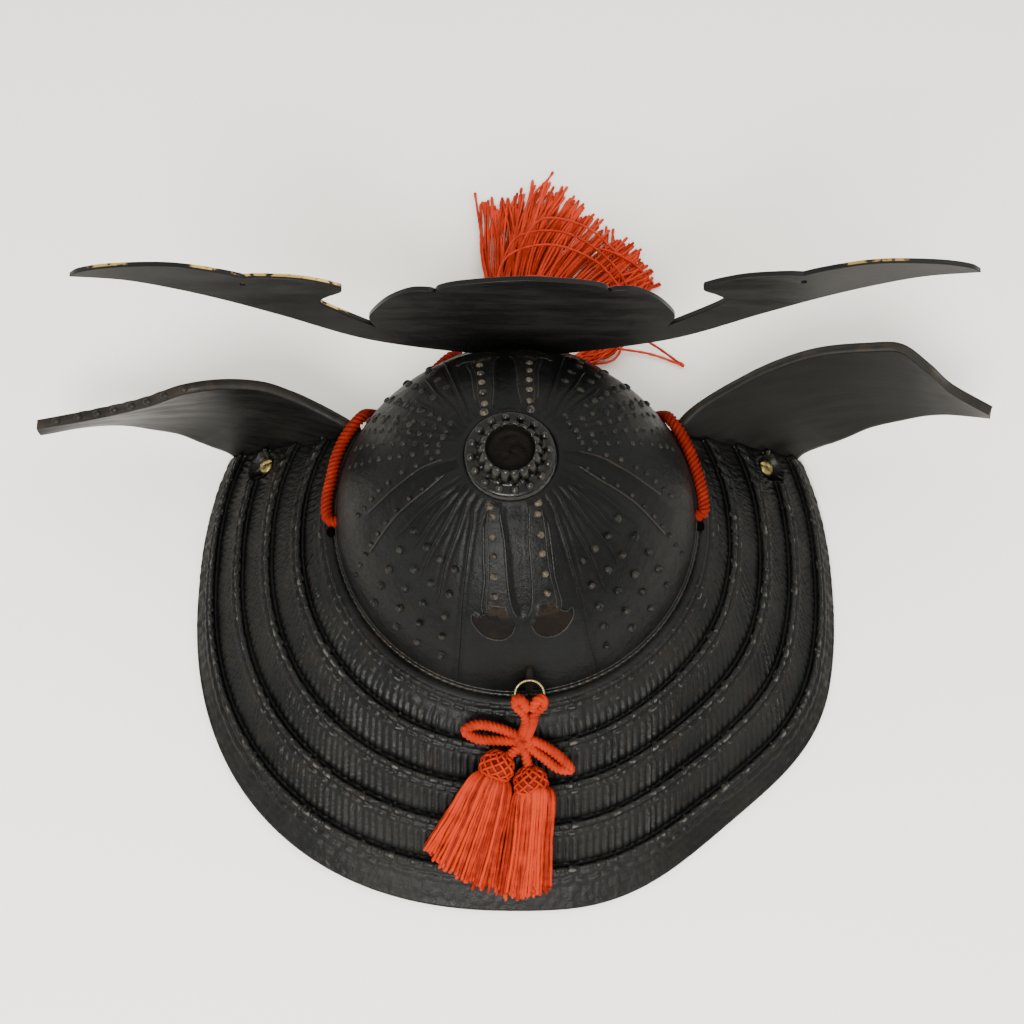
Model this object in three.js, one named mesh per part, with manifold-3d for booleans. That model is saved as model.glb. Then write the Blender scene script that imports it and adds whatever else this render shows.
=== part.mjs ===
// Cast-iron ornamental kabuto helmet: riveted bowl, five-lame neck guard, two turned-back wings,
// brass-faced crest, brass screws and ring, and orange silk cords with tassels.
// Millimetres, +Z up. The front of the helmet faces -Y and its left side is +X.
import * as THREE from 'three';
import { mergeVertices } from 'three/addons/utils/BufferGeometryUtils.js';
import Module from 'manifold-3d';

const wasm = await Module();
wasm.setup();

// Clearance between pieces that touch
const GAP = 0.3;

// Bowl
const BOWL_HALF_WIDTH = 59;
const BOWL_BACK = 60;
const BOWL_FRONT = 57;
const BOWL_RISE = 53;
const BOWL_TAPER = 1.22;
const BOWL_WALL = 3;
const BOWL_SKIRT = 4;
const CROWN_SHIFT = 2;
const CROWN_SEAT_RADIUS = 14;
const PATTERN_TURN = 4;
const RIB_WIDTH = 1.8;
const RIB_HEIGHT = 0.8;
const RIB_RAMP = 0.01;
const LONG_RIB_FOOT = 0.05;
const SHORT_RIB_FOOT = 0.5;
const STRIP_WIDTH = 4.4;
const STRIP_HEIGHT = 1.2;
const STRIP_SPACING = 16;
const LOBE_RADIUS = 5.6;
const LOBE_CLIMB = 0.42;
const RIVET_RADIUS = 1.15;
const RIVET_HEIGHT = 1;
const RELIEF_ROOT = 0.8;

// Crown fitting
const CROWN_FLANGE_RADIUS = 13.2;
const CROWN_HEIGHT = 5;
const CROWN_PEG_RADIUS = 4;
const CROWN_PEG_LENGTH = 6;

// Neck guard: a horseshoe of lames on a rounded-square plan
const GUARD_HALF_WIDTH = 110.5;
const GUARD_HALF_LENGTH = 108.5;
const GUARD_SET_BACK = 15;
const GUARD_SQUARENESS = 2.3;
const GUARD_FLAT_DEPTH = 7;
const GUARD_FLAT_TURN = 130;
const GUARD_FLAT_SPREAD = 34;
const GUARD_HEIGHT = 36;
const GUARD_WALL = 3.6;
const GUARD_FOOT = 5;
const GUARD_FRONT_AT_BOWL = 28.5;
const GUARD_FRONT_AT_RIM = 32.5;
const LAME_LIP = 1.8;
const LAME_STEP = 1.7;
const LAME_BEVEL = 0.4;
const LAME_UNDERCUT = 0.5;
const RIM_EDGE = 1.5;
const LEDGE_WIDTH = 3.2;
const LEDGE_THICKNESS = 2.4;

// Wings, the turned-back front ends of the guard
const WING_SPAN = 62;
const WING_ROOT_INSET = 1;
const WING_ROOT_SHORT = 3.3;
const WING_AHEAD = 22;
const WING_HEIGHT = 57;
const WING_PLATE = 3.4;
const WING_TAB_WIDTH = 13;
const WING_TAB_LENGTH = 14;
const WING_TAB_THICKNESS = 3;
const WING_TAB_CLEARANCE = 1.2;
const WING_FOOT_SINK = 1;

// Wing screws
const SCREW_OUT = 0.66;
const SCREW_BEHIND_FRONT = 6;
const SCREW_SEAT_OUT = 1.6;
const SCREW_SEAT_UP = 1;
const SCREW_HEAD_RADIUS = 2.9;
const SCREW_HEAD_HEIGHT = 1.9;
const SCREW_SHANK_RADIUS = 1.5;
const SCREW_PROUD = 1;
const SCREW_SLOT_WIDTH = 0.8;
const SCREW_SLOT_DEPTH = 0.8;
const SCREW_SLOT_TURN = 25;

// Visor and the socket that holds the crest
const VISOR_REACH = 14;
const VISOR_DROP = 19;
const VISOR_HALF_ANGLE = 42;
const VISOR_END_TAPER = 62;
const VISOR_PLATE = 2.6;
const VISOR_FLAT = 0.2;
const VISOR_STATIONS = 12;
const SOCKET_WIDTH = 18;
const SOCKET_DEPTH = 7;
const SOCKET_RISE = 5;
const SOCKET_SINK = 1;

// Crest
const CREST_HALF_SPAN = 140;
const CREST_HEIGHT = 60;
const CREST_PLATE = 1.6;
const CREST_STANDOFF = 3;
const CREST_TILT = 1;
const CREST_SHIFT = -1.5;
const TANG_WIDTH = 10;
const CREST_FOOT_STEP = 1;
const CREST_HOLE_OUT = 0.625;
const CREST_HOLE_UP = 0.815;
const CREST_HOLE_RADIUS = 1.1;

// Rear hook, ring, knot and tassels
const HOOK_HEIGHT = 14.7;
const HOOK_TURN = 1;
const HOOK_EYE_DROP = 2.2;
const HOOK_LENGTH = 10;
const HOOK_EYE_STANDOFF = 2.4;
const HOOK_WIDTH = 2.6;
const HOOK_THICKNESS = 1.2;
const HOOK_EYE_RADIUS = 1.1;
const HOOK_TAIL = 3;
const HOOK_BEND = 1.6;
const RING_RADIUS = 4.4;
const RING_WIRE = 0.7;
const RING_LEAN = 58;
const KNOT_CORD = 2.5;
const KNOT_EYE_RADIUS = 2.25;
const KNOT_HEART_RADIUS = 4.2;
const REAR_TASSEL_HEAD = 11.2;
const REAR_TASSEL_LOCK = 4.4;

// Chin cord and front tassel
const CHIN_CORD = 3.7;
const CHIN_HOLE_CLEARANCE = 0.8;
const CHIN_KNOT = 7;
const FRONT_TASSEL_HEAD = 11;
const FRONT_TASSEL_LOCK = 6;

// Faces and segments
const GUARD_STATIONS = 30;
const HOLLOW_STATIONS = 24;
const ROUND_SIDES = 16;

// Meridians of one quarter of the bowl: degrees from the pattern's centre line, and the climb at
// which a raised rib starts where there is one
const QUARTER_MERIDIANS = [
  { turn: 0 }, { turn: 11 }, { turn: 22, foot: LONG_RIB_FOOT }, { turn: 33, foot: SHORT_RIB_FOOT },
  { turn: 44, foot: SHORT_RIB_FOOT }, { turn: 55, foot: SHORT_RIB_FOOT }, { turn: 74, foot: LONG_RIB_FOOT },
  { turn: 90 },
];

// Rivets of one quarter of the bowl, below the short ribs
const QUARTER_RIVETS = [
  { turn: 34, climb: 0.12 }, { turn: 34, climb: 0.24 }, { turn: 34, climb: 0.36 },
  { turn: 50, climb: 0.17 }, { turn: 50, climb: 0.29 }, { turn: 50, climb: 0.41 },
];

// Crown fitting from its flange to the middle of its recess, as shares of its radius and height
const CROWN_PROFILE = [
  { out: 1, up: 0 }, { out: 1, up: 0.22 }, { out: 0.94, up: 0.34 }, { out: 0.88, up: 0.38 },
  { out: 0.8, up: 0.76 }, { out: 0.7, up: 0.96 }, { out: 0.61, up: 1 }, { out: 0.47, up: 0.9 },
  { out: 0.4, up: 0.44 }, { out: 0, up: 0.36 },
];

// Domed screw head, as shares of its radius and height
const SCREW_PROFILE = [
  { out: 1, up: 0.16 }, { out: 1, up: 0.5 }, { out: 0.82, up: 0.85 }, { out: 0.45, up: 1 },
  { out: 0, up: 1 },
];

// Lame edges from the bowl outwards: share of the way to the rim at the side and at the back,
// and height as a share of the guard's
const LAME_EDGES = [
  { side: 0.05, back: 0.05, up: 1.0 },
  { side: 0.24, back: 0.235, up: 0.8 },
  { side: 0.47, back: 0.42, up: 0.6 },
  { side: 0.69, back: 0.6, up: 0.4 },
  { side: 0.89, back: 0.8, up: 0.2 },
];

// Wing edges from the guard end to the tip. Out is a share of the way from the guard's inner end
// to the wing tip, ahead a share of the wing's throw and up a share of its height, for the upper
// and the lower edge. The left wing is curled back, the right one stands open.
const RIGHT_WING_EDGES = [
  { topOut: 0.0, topAhead: 0.0, topUp: 0.62, lowOut: 0.42, lowAhead: 0.0, lowUp: 0.03 },
  { topOut: 0.05, topAhead: 0.24, topUp: 0.7, lowOut: 0.45, lowAhead: 0.15, lowUp: 0.07 },
  { topOut: 0.13, topAhead: 0.49, topUp: 0.75, lowOut: 0.51, lowAhead: 0.28, lowUp: 0.12 },
  { topOut: 0.26, topAhead: 0.77, topUp: 0.82, lowOut: 0.58, lowAhead: 0.38, lowUp: 0.17 },
  { topOut: 0.41, topAhead: 0.91, topUp: 0.9, lowOut: 0.65, lowAhead: 0.5, lowUp: 0.22 },
  { topOut: 0.56, topAhead: 0.91, topUp: 0.97, lowOut: 0.75, lowAhead: 0.59, lowUp: 0.27 },
  { topOut: 0.65, topAhead: 0.86, topUp: 1.0, lowOut: 0.82, lowAhead: 0.62, lowUp: 0.32 },
  { topOut: 0.75, topAhead: 0.68, topUp: 0.88, lowOut: 0.88, lowAhead: 0.6, lowUp: 0.36 },
  { topOut: 0.84, topAhead: 0.58, topUp: 0.7, lowOut: 0.94, lowAhead: 0.53, lowUp: 0.4 },
  { topOut: 0.985, topAhead: 0.37, topUp: 0.55, lowOut: 1.0, lowAhead: 0.44, lowUp: 0.45 },
];
const LEFT_WING_EDGES = [
  { topOut: 0.0, topAhead: 0.0, topUp: 0.62, lowOut: 0.42, lowAhead: 0.0, lowUp: 0.03 },
  { topOut: 0.06, topAhead: 0.12, topUp: 0.7, lowOut: 0.45, lowAhead: 0.12, lowUp: 0.07 },
  { topOut: 0.12, topAhead: 0.24, topUp: 0.75, lowOut: 0.5, lowAhead: 0.22, lowUp: 0.11 },
  { topOut: 0.19, topAhead: 0.34, topUp: 0.82, lowOut: 0.55, lowAhead: 0.31, lowUp: 0.16 },
  { topOut: 0.27, topAhead: 0.37, topUp: 0.9, lowOut: 0.6, lowAhead: 0.37, lowUp: 0.21 },
  { topOut: 0.38, topAhead: 0.28, topUp: 0.97, lowOut: 0.68, lowAhead: 0.4, lowUp: 0.26 },
  { topOut: 0.49, topAhead: 0.14, topUp: 1.0, lowOut: 0.75, lowAhead: 0.42, lowUp: 0.3 },
  { topOut: 0.61, topAhead: 0.08, topUp: 0.88, lowOut: 0.82, lowAhead: 0.38, lowUp: 0.34 },
  { topOut: 0.76, topAhead: 0.12, topUp: 0.7, lowOut: 0.91, lowAhead: 0.26, lowUp: 0.39 },
  { topOut: 0.985, topAhead: 0.06, topUp: 0.56, lowOut: 1.0, lowAhead: 0.06, lowUp: 0.46 },
];

// Half outline of the crest from the foot to the top of the middle, in runs that meet at corners.
// Out is a share of the half span and up a share of the crest's height.
const CREST_RUNS = [
  [
    { out: 0.0, up: 0.0 }, { out: 0.113, up: 0.017 }, { out: 0.364, up: 0.19 }, { out: 0.557, up: 0.477 },
    { out: 0.675, up: 0.647 }, { out: 0.78, up: 0.773 }, { out: 0.886, up: 0.867 }, { out: 1.0, up: 0.905 },
  ],
  [
    { out: 1.0, up: 0.905 }, { out: 0.975, up: 0.945 }, { out: 0.91, up: 0.983 }, { out: 0.814, up: 0.997 },
    { out: 0.743, up: 0.98 }, { out: 0.663, up: 0.92 }, { out: 0.62, up: 0.873 },
  ],
  [
    { out: 0.62, up: 0.873 }, { out: 0.579, up: 0.878 }, { out: 0.5, up: 0.858 }, { out: 0.443, up: 0.812 },
    { out: 0.409, up: 0.768 },
  ],
  [
    { out: 0.409, up: 0.768 }, { out: 0.412, up: 0.727 }, { out: 0.443, up: 0.683 },
    { out: 0.462, up: 0.637 }, { out: 0.451, up: 0.567 }, { out: 0.343, up: 0.33 },
  ],
  [
    { out: 0.343, up: 0.33 }, { out: 0.354, up: 0.4 }, { out: 0.354, up: 0.47 }, { out: 0.311, up: 0.628 },
    { out: 0.257, up: 0.725 }, { out: 0.214, up: 0.733 }, { out: 0.196, up: 0.713 },
  ],
  [
    { out: 0.196, up: 0.713 }, { out: 0.186, up: 0.755 }, { out: 0.143, up: 0.795 },
    { out: 0.057, up: 0.828 }, { out: 0.0, up: 0.838 },
  ],
];

// Routes of the chin cords, from the knot inside the bowl to the front tassel's head
const LEFT_CHIN_ROUTE = [
  [50, 5, 37.8], [55.6, 4.4, 38.1], [61, 3.4, 38.5], [62, -3, 38.5], [61.1, -10, 38.5],
  [59.9, -17, 38.8], [57.8, -23.4, 39.4], [54.6, -28.8, 40.2], [51.6, -33.4, 38.4], [50, -36.4, 33],
  [48.4, -39.2, 26], [46.4, -43, 17.5], [43, -49, 9.5], [37, -58, 4], [29.5, -69, 2.4],
  [22.5, -74.6, 2.4], [16.2, -69.8, 3], [10.4, -66, 4.8], [4.95, -69.15, 5.6],
];
const RIGHT_CHIN_ROUTE = [
  [-50, 2.2, 37.8], [-55.6, 1.7, 38.1], [-60.8, 0.8, 38.4], [-61.3, -5, 38.4], [-60.4, -11, 38.4],
  [-58.8, -17, 38.6], [-56.8, -22.6, 39.2], [-54, -28.2, 40], [-51.2, -33.2, 38.4], [-49.6, -36.2, 33],
  [-48.2, -39, 26], [-46.2, -42.8, 17.5], [-42.5, -48.8, 9.5], [-35.5, -56, 4], [-25, -61, 2.4],
  [-14, -61, 2.8], [-6, -61.8, 4.8], [-2.85, -67.05, 5.6],
];

// Rear knot and tassels: each point is aside, behind the bowl's back and above the guard's slope.
// The knot has its heart, and its strands in order: open loop, folded loop and the two legs.
const KNOT_HEART = [-2.6, 14.6, 6.2];
const KNOT_ROUTES = [
  [
    [-2.6, 14, 6.4], [6, 10.2, 6.2], [13.8, 9.4, 6.5], [16, 11.6, 6.9], [13, 14.2, 7.1],
    [5, 14.8, 6.7], [-2.6, 14.6, 6.4],
  ],
  [
    [-3, 13.6, 6.4], [-9, 15.4, 7.2], [-15, 19.6, 8.1], [-17.4, 23, 8.4], [-13, 22.2, 8.1],
    [-3, 15.4, 6.4],
  ],
  [[-2.4, 15, 6.2], [-0.4, 17, 6.9], [1, 18.2, 7.4]],
  [[-2.6, 15, 6.2], [-3.2, 18.4, 6.9], [-3.7, 20.6, 7.4]],
];

// Tassels: centre of the head, the line that the locks start from and the curve that they end on
const REAR_TASSELS = [
  {
    name: 'rear_tassel_left',
    head: [5.8, 22.4, 8.5],
    from: [[14.4, 24.8, 6.9], [4, 25.4, 6.7]],
    tips: [[28, 46, 6.7], [20.4, 51.6, 6], [13.6, 55.6, 5.5], [7.2, 57.6, 5.3]],
    locks: 5,
  },
  {
    name: 'rear_tassel_right',
    head: [-4.8, 26.8, 8.3],
    from: [[-1.5, 29, 6.9], [-11, 29.6, 6.9]],
    tips: [[1.7, 57.8, 5.3], [-4.6, 58.2, 5.2], [-11.2, 55.6, 5.4]],
    locks: 4,
  },
];
const FRONT_TASSEL = {
  name: 'front_tassel',
  head: [0, -72, 5.9],
  from: [[6.5, -75, 5], [-8, -73, 4.6]],
  tips: [
    [11.5, -136, 3.4], [4, -140, 3.4], [-8, -144, 3.4], [-15, -146, 3.4], [-25, -138, 3.4], [-35, -129, 3.4],
    [-44, -119, 3.4], [-50, -102, 3.4],
  ],
  locks: 9,
};

const IRON = { color: 0x1d1e20, roughness: 0.5, metalness: 0.75 };
const LACQUER = { color: 0x1b1b1c, roughness: 0.45, metalness: 0.6 };
const BRASS = { color: 0x8c7a3c, roughness: 0.38, metalness: 0.95 };
const SILK = { color: 0xd8451f, roughness: 0.72, metalness: 0.0 };

const radians = THREE.MathUtils.degToRad;
const mix = THREE.MathUtils.lerp;
const signedPower = (value, power) => Math.sign(value) * Math.abs(value) ** power;

// Solid from a closed geometry with its shared vertices merged
function solidOf(geometry) {
  const bare = geometry.clone();
  bare.deleteAttribute('normal');
  bare.deleteAttribute('uv');
  const welded = mergeVertices(bare, 1e-4);
  return new wasm.Manifold(new wasm.Mesh({
    numProp: 3,
    vertProperties: new Float32Array(welded.attributes.position.array),
    triVerts: new Uint32Array(welded.index.array),
  }));
}

function geometryOf(solid) {
  const mesh = solid.getMesh();
  const geometry = new THREE.BufferGeometry();
  geometry.setAttribute('position', new THREE.BufferAttribute(mesh.vertProperties, 3));
  geometry.setIndex(new THREE.BufferAttribute(mesh.triVerts, 1));
  geometry.computeVertexNormals();
  return geometry;
}

function joined(geometries) {
  return geometryOf(geometries.map(solidOf).reduce((whole, piece) => whole.add(piece)));
}

function cut(geometry, cutters) {
  return geometryOf(cutters.reduce((whole, cutter) => whole.subtract(solidOf(cutter)), solidOf(geometry)));
}

// Closed solid through rings of points, each ring a closed loop, with the end rings capped.
// The caps are triangulated in the plane given by capPlane(point).
function loftOf(rings, capPlane) {
  const count = rings[0].length;
  const positions = rings.flat().flatMap((point) => [point.x, point.y, point.z]);
  const indices = [];
  for (let ring = 0; ring + 1 < rings.length; ring++) {
    for (let side = 0; side < count; side++) {
      const next = (side + 1) % count;
      const a = ring * count + side;
      const b = ring * count + next;
      indices.push(a, b, a + count, b, b + count, a + count);
    }
  }
  const caps = THREE.ShapeUtils.triangulateShape(rings[0].map(capPlane), []);
  const last = (rings.length - 1) * count;
  const outline = rings[0].map(capPlane);
  const forward = THREE.ShapeUtils.area(outline) > 0;
  for (const [a, b, c] of caps) {
    indices.push(...(forward ? [a, c, b] : [a, b, c]));
    indices.push(...(forward ? [last + a, last + b, last + c] : [last + a, last + c, last + b]));
  }
  const geometry = new THREE.BufferGeometry();
  geometry.setAttribute('position', new THREE.Float32BufferAttribute(positions, 3));
  geometry.setIndex(indices);
  if (signedVolume(geometry) < 0) indices.reverse();
  geometry.setIndex(indices);
  geometry.computeVertexNormals();
  return geometry;
}

function signedVolume(geometry) {
  const point = geometry.attributes.position;
  const corners = [new THREE.Vector3(), new THREE.Vector3(), new THREE.Vector3()];
  let total = 0;
  for (let i = 0; i < geometry.index.count; i += 3) {
    corners.forEach((corner, k) => corner.fromBufferAttribute(point, geometry.index.getX(i + k)));
    total += corners[0].dot(corners[1].clone().cross(corners[2])) / 6;
  }
  return total;
}

// Round rod along a smooth route
function rod(route, diameter, steps, sides = 8) {
  const circle = new THREE.Shape();
  for (let i = 0; i < sides; i++) {
    const turn = ((i + 0.5) / sides) * 2 * Math.PI;
    const x = (diameter / 2) * Math.cos(turn);
    const y = (diameter / 2) * Math.sin(turn);
    if (i === 0) circle.moveTo(x, y);
    else circle.lineTo(x, y);
  }
  circle.closePath();
  const path = new THREE.CatmullRomCurve3(route.map((point) => new THREE.Vector3(...point)));
  return new THREE.ExtrudeGeometry(circle, { steps, extrudePath: path, curveSegments: 1 });
}

// Cylinder with its axis through a point along a direction, from one distance to another
function pin(radius, point, direction, from, to) {
  const geometry = new THREE.CylinderGeometry(radius, radius, to - from, ROUND_SIDES);
  geometry.translate(0, (from + to) / 2, 0);
  const up = new THREE.Vector3(0, 1, 0);
  geometry.applyQuaternion(new THREE.Quaternion().setFromUnitVectors(up, direction.clone().normalize()));
  geometry.translate(point.x, point.y, point.z);
  return geometry;
}

function piece(name, geometry, look) {
  const mesh = new THREE.Mesh(geometry, new THREE.MeshStandardMaterial(look));
  mesh.name = name;
  return mesh;
}

// Plan of the bowl's base at an angle measured from +X towards +Y, grown outwards by an offset
function bowlPlan(angle, offset = 0) {
  const depth = Math.sin(angle) > 0 ? BOWL_BACK : BOWL_FRONT;
  return new THREE.Vector2(
    (BOWL_HALF_WIDTH + offset) * Math.cos(angle),
    (depth + offset) * Math.sin(angle),
  );
}

// Point of the bowl's skin at a plan angle and a climb from 0 at the base to 1 at the pole
function bowlPoint(angle, climb, offset = 0) {
  const plan = bowlPlan(angle, offset);
  const inward = Math.cos(climb * (Math.PI / 2)) ** BOWL_TAPER;
  const upward = Math.sin(climb * (Math.PI / 2)) ** BOWL_TAPER;
  return new THREE.Vector3(
    plan.x * inward + CROWN_SHIFT * upward,
    plan.y * inward,
    GUARD_HEIGHT + (BOWL_RISE + offset) * upward,
  );
}

// Climb of the bowl's skin at a height above its base
const climbAt = (height) => Math.asin((height / BOWL_RISE) ** (1 / BOWL_TAPER)) / (Math.PI / 2);

const CROWN_CLIMB = Math.acos((CROWN_SEAT_RADIUS / BOWL_HALF_WIDTH) ** (1 / BOWL_TAPER)) / (Math.PI / 2);
const RIB_TOP = CROWN_CLIMB - 0.02;
const CROWN_TOP = bowlPoint(0, CROWN_CLIMB).z;

// Meridians of the whole bowl, in order round it
function bowlMeridians() {
  const meridians = new Map();
  for (const centre of [0, 180]) {
    for (const side of [-1, 1]) {
      for (const { turn, foot } of QUARTER_MERIDIANS) {
        const around = (centre + side * turn + 360) % 360;
        meridians.set(around, { around, foot });
      }
    }
  }
  return [...meridians.values()].sort((a, b) => a.around - b.around);
}

// Closed dome from meridian rows of points, each from the base up to a flat crown
function domeOf(meridians) {
  const count = meridians[0].length;
  const positions = meridians.flat().flatMap((point) => [point.x, point.y, point.z]);
  const foot = meridians.length * count;
  const crown = foot + 1;
  positions.push(0, 0, meridians[0][0].z, CROWN_SHIFT, 0, meridians[0][count - 1].z);
  const indices = [];
  for (let row = 0; row < meridians.length; row++) {
    const here = row * count;
    const next = ((row + 1) % meridians.length) * count;
    indices.push(foot, next, here, here + count - 1, next + count - 1, crown);
    for (let step = 0; step + 1 < count; step++) {
      indices.push(here + step, next + step, here + step + 1);
      indices.push(next + step, next + step + 1, here + step + 1);
    }
  }
  const geometry = new THREE.BufferGeometry();
  geometry.setAttribute('position', new THREE.Float32BufferAttribute(positions, 3));
  geometry.setIndex(indices);
  return geometry;
}

// Skin of the bowl with its raised ribs, closed below its skirt
function bowlSkin() {
  const climbs = [
    0, LONG_RIB_FOOT, LONG_RIB_FOOT + RIB_RAMP, mix(LONG_RIB_FOOT, SHORT_RIB_FOOT, 0.33),
    mix(LONG_RIB_FOOT, SHORT_RIB_FOOT, 0.67), SHORT_RIB_FOOT, SHORT_RIB_FOOT + RIB_RAMP,
    mix(SHORT_RIB_FOOT, RIB_TOP, 0.55), RIB_TOP - RIB_RAMP, RIB_TOP, CROWN_CLIMB,
  ];
  const meridians = [];
  for (const { around, foot } of bowlMeridians()) {
    const half = THREE.MathUtils.radToDeg(RIB_WIDTH / 2 / BOWL_BACK);
    for (const share of foot === undefined ? [0] : [-1, -0.55, 0.55, 1]) {
      const angle = radians(90 + PATTERN_TURN + around + share * half);
      const skirt = bowlPlan(angle);
      const meridian = [new THREE.Vector3(skirt.x, skirt.y, GUARD_HEIGHT - BOWL_SKIRT)];
      for (const climb of climbs) {
        const raised = Math.abs(share) < 1 && climb > foot && climb < RIB_TOP;
        meridian.push(bowlPoint(angle, climb, raised ? RIB_HEIGHT : 0));
      }
      meridians.push(meridian);
    }
  }
  return domeOf(meridians);
}

// Hollow of the bowl, open below
function bowlHollow() {
  const meridians = [];
  for (let step = 0; step < HOLLOW_STATIONS; step++) {
    const angle = (step / HOLLOW_STATIONS) * 2 * Math.PI;
    const skirt = bowlPlan(angle, -BOWL_WALL);
    const meridian = [new THREE.Vector3(skirt.x, skirt.y, GUARD_HEIGHT - 2 * BOWL_SKIRT)];
    for (const share of [0, 0.25, 0.5, 0.75, 1]) {
      meridian.push(bowlPoint(angle, share * CROWN_CLIMB, -BOWL_WALL));
    }
    meridians.push(meridian);
  }
  return domeOf(meridians);
}

// Frame on the bowl's skin: the point and the direction straight out of it
function bowlFrame(turn, climb) {
  const angle = radians(90 + PATTERN_TURN + turn);
  const point = bowlPoint(angle, climb);
  const along = bowlPoint(angle + 0.01, climb).sub(point);
  const up = bowlPoint(angle, climb + 0.01).sub(point);
  return { point, out: along.cross(up).normalize() };
}

// Raised boss on the bowl's skin, narrower at its top
function boss(radius, height, sides, { point, out }) {
  const geometry = new THREE.CylinderGeometry(radius * 0.45, radius, height + RELIEF_ROOT, sides);
  geometry.translate(0, (height - RELIEF_ROOT) / 2, 0);
  geometry.applyQuaternion(new THREE.Quaternion().setFromUnitVectors(new THREE.Vector3(0, 1, 0), out));
  geometry.translate(point.x, point.y, point.z);
  return geometry;
}

// Turn at which a strip runs, at a constant distance from the pattern's centre line
function stripTurn(centre, side, climb, offset = 0) {
  const radius = BOWL_BACK * Math.cos(climb * (Math.PI / 2)) ** BOWL_TAPER;
  return centre + THREE.MathUtils.radToDeg(Math.asin((side * STRIP_SPACING / 2 + offset) / radius));
}

// Raised strip from its lobe up to the crown
function stripOf(centre, side) {
  const rings = [];
  for (const share of [0, 0.25, 0.5, 0.75, 1]) {
    const climb = mix(LOBE_CLIMB, RIB_TOP - RIB_RAMP, share);
    const angles = [-STRIP_WIDTH / 2, STRIP_WIDTH / 2].map((offset) => (
      radians(90 + PATTERN_TURN + stripTurn(centre, side, climb, offset))
    ));
    rings.push([
      bowlPoint(angles[0], climb, -RELIEF_ROOT), bowlPoint(angles[1], climb, -RELIEF_ROOT),
      bowlPoint(angles[1], climb, STRIP_HEIGHT), bowlPoint(angles[0], climb, STRIP_HEIGHT),
    ]);
  }
  return loftOf(rings, (point) => new THREE.Vector2(point.x, Math.abs(point.y) + point.z));
}

// Strips with their lobed ends, and the rivets
function bowlRelief() {
  const relief = [];
  for (const centre of [0, 180]) {
    for (const side of [-1, 1]) {
      const lobe = bowlFrame(stripTurn(centre, side, LOBE_CLIMB), LOBE_CLIMB);
      relief.push(stripOf(centre, side), boss(LOBE_RADIUS, STRIP_HEIGHT, 8, lobe));
      for (const { turn, climb } of QUARTER_RIVETS) {
        relief.push(boss(RIVET_RADIUS, RIVET_HEIGHT, 4, bowlFrame(centre + side * turn, climb)));
      }
    }
  }
  return relief;
}

// Hole where a chin cord passes through the bowl's wall, along the first stretch of its route
function chinHole(route) {
  const [knot, , outside] = route.map((point) => new THREE.Vector3(...point));
  const radius = CHIN_CORD / 2 + CHIN_HOLE_CLEARANCE;
  const reach = BOWL_HALF_WIDTH / 3;
  return pin(radius, outside, outside.clone().sub(knot), -reach, reach);
}

const HOOK_CLIMB = climbAt(HOOK_HEIGHT);

function bowlPiece() {
  const body = joined([bowlSkin(), ...bowlRelief()]);
  const hook = bowlFrame(HOOK_TURN, HOOK_CLIMB);
  const slot = new THREE.BoxGeometry(HOOK_WIDTH + 2 * GAP, 4 * BOWL_WALL, HOOK_THICKNESS + 2 * GAP);
  slot.translate(hook.point.x, hook.point.y, hook.point.z);
  const holes = [LEFT_CHIN_ROUTE, RIGHT_CHIN_ROUTE].map(chinHole);
  const crown = new THREE.Vector3(CROWN_SHIFT, 0, CROWN_TOP);
  const bore = pin(CROWN_PEG_RADIUS + GAP, crown, new THREE.Vector3(0, 0, 1), -4 * BOWL_WALL, BOWL_WALL);
  return piece('bowl', cut(body, [bowlHollow(), slot, bore, ...holes]), IRON);
}

function crownFitting() {
  const peg = [[0, -CROWN_PEG_LENGTH], [CROWN_PEG_RADIUS, -CROWN_PEG_LENGTH], [CROWN_PEG_RADIUS, 0]];
  const head = CROWN_PROFILE.map(({ out, up }) => [out * CROWN_FLANGE_RADIUS, up * CROWN_HEIGHT]);
  const profile = [...peg, ...head].map(([radius, height]) => new THREE.Vector2(radius, height));
  const geometry = new THREE.LatheGeometry(profile, 20);
  geometry.rotateX(Math.PI / 2);
  geometry.translate(CROWN_SHIFT, 0, CROWN_TOP + GAP);
  return piece('crown_fitting', joined([geometry]), IRON);
}

// Plan of the guard at a share of the way from the bowl to the rim
function guardPlan(angle, out) {
  const inner = bowlPlan(angle, GAP);
  const power = 2 / GUARD_SQUARENESS;
  const from = Math.abs(angle - radians(GUARD_FLAT_TURN)) / radians(GUARD_FLAT_SPREAD);
  const flat = from < 1 ? (GUARD_FLAT_DEPTH * (1 + Math.cos(Math.PI * from))) / 2 : 0;
  const rim = new THREE.Vector2(
    (GUARD_HALF_WIDTH - flat) * signedPower(Math.cos(angle), power),
    GUARD_SET_BACK + (GUARD_HALF_LENGTH - flat) * signedPower(Math.sin(angle), power),
  );
  return inner.lerp(rim, out);
}

// Front end of the guard, ahead of the bowl's axis, at a share of the way to the rim
const guardFront = (out) => mix(GUARD_FRONT_AT_BOWL, GUARD_FRONT_AT_RIM, out);

// How far past straight sideways the guard reaches before it meets its front end
function guardEndAngle(out) {
  let low = 0;
  let high = Math.PI / 2;
  for (let i = 0; i < 40; i++) {
    const middle = (low + high) / 2;
    if (guardPlan(-middle, out).y > -guardFront(out)) low = middle;
    else high = middle;
  }
  return low;
}

// Point above the guard's slope, from its places aside and behind the bowl's back and its lift
function overGuard([aside, behind, lift]) {
  const y = BOWL_BACK + behind;
  const angle = Math.atan2(y, aside);
  const inner = guardPlan(angle, 0).length();
  const rim = guardPlan(angle, 1).length();
  const out = (Math.hypot(aside, y) - inner) / (rim - inner);
  return [aside, y, GUARD_HEIGHT * (1 - out) + lift];
}

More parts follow.
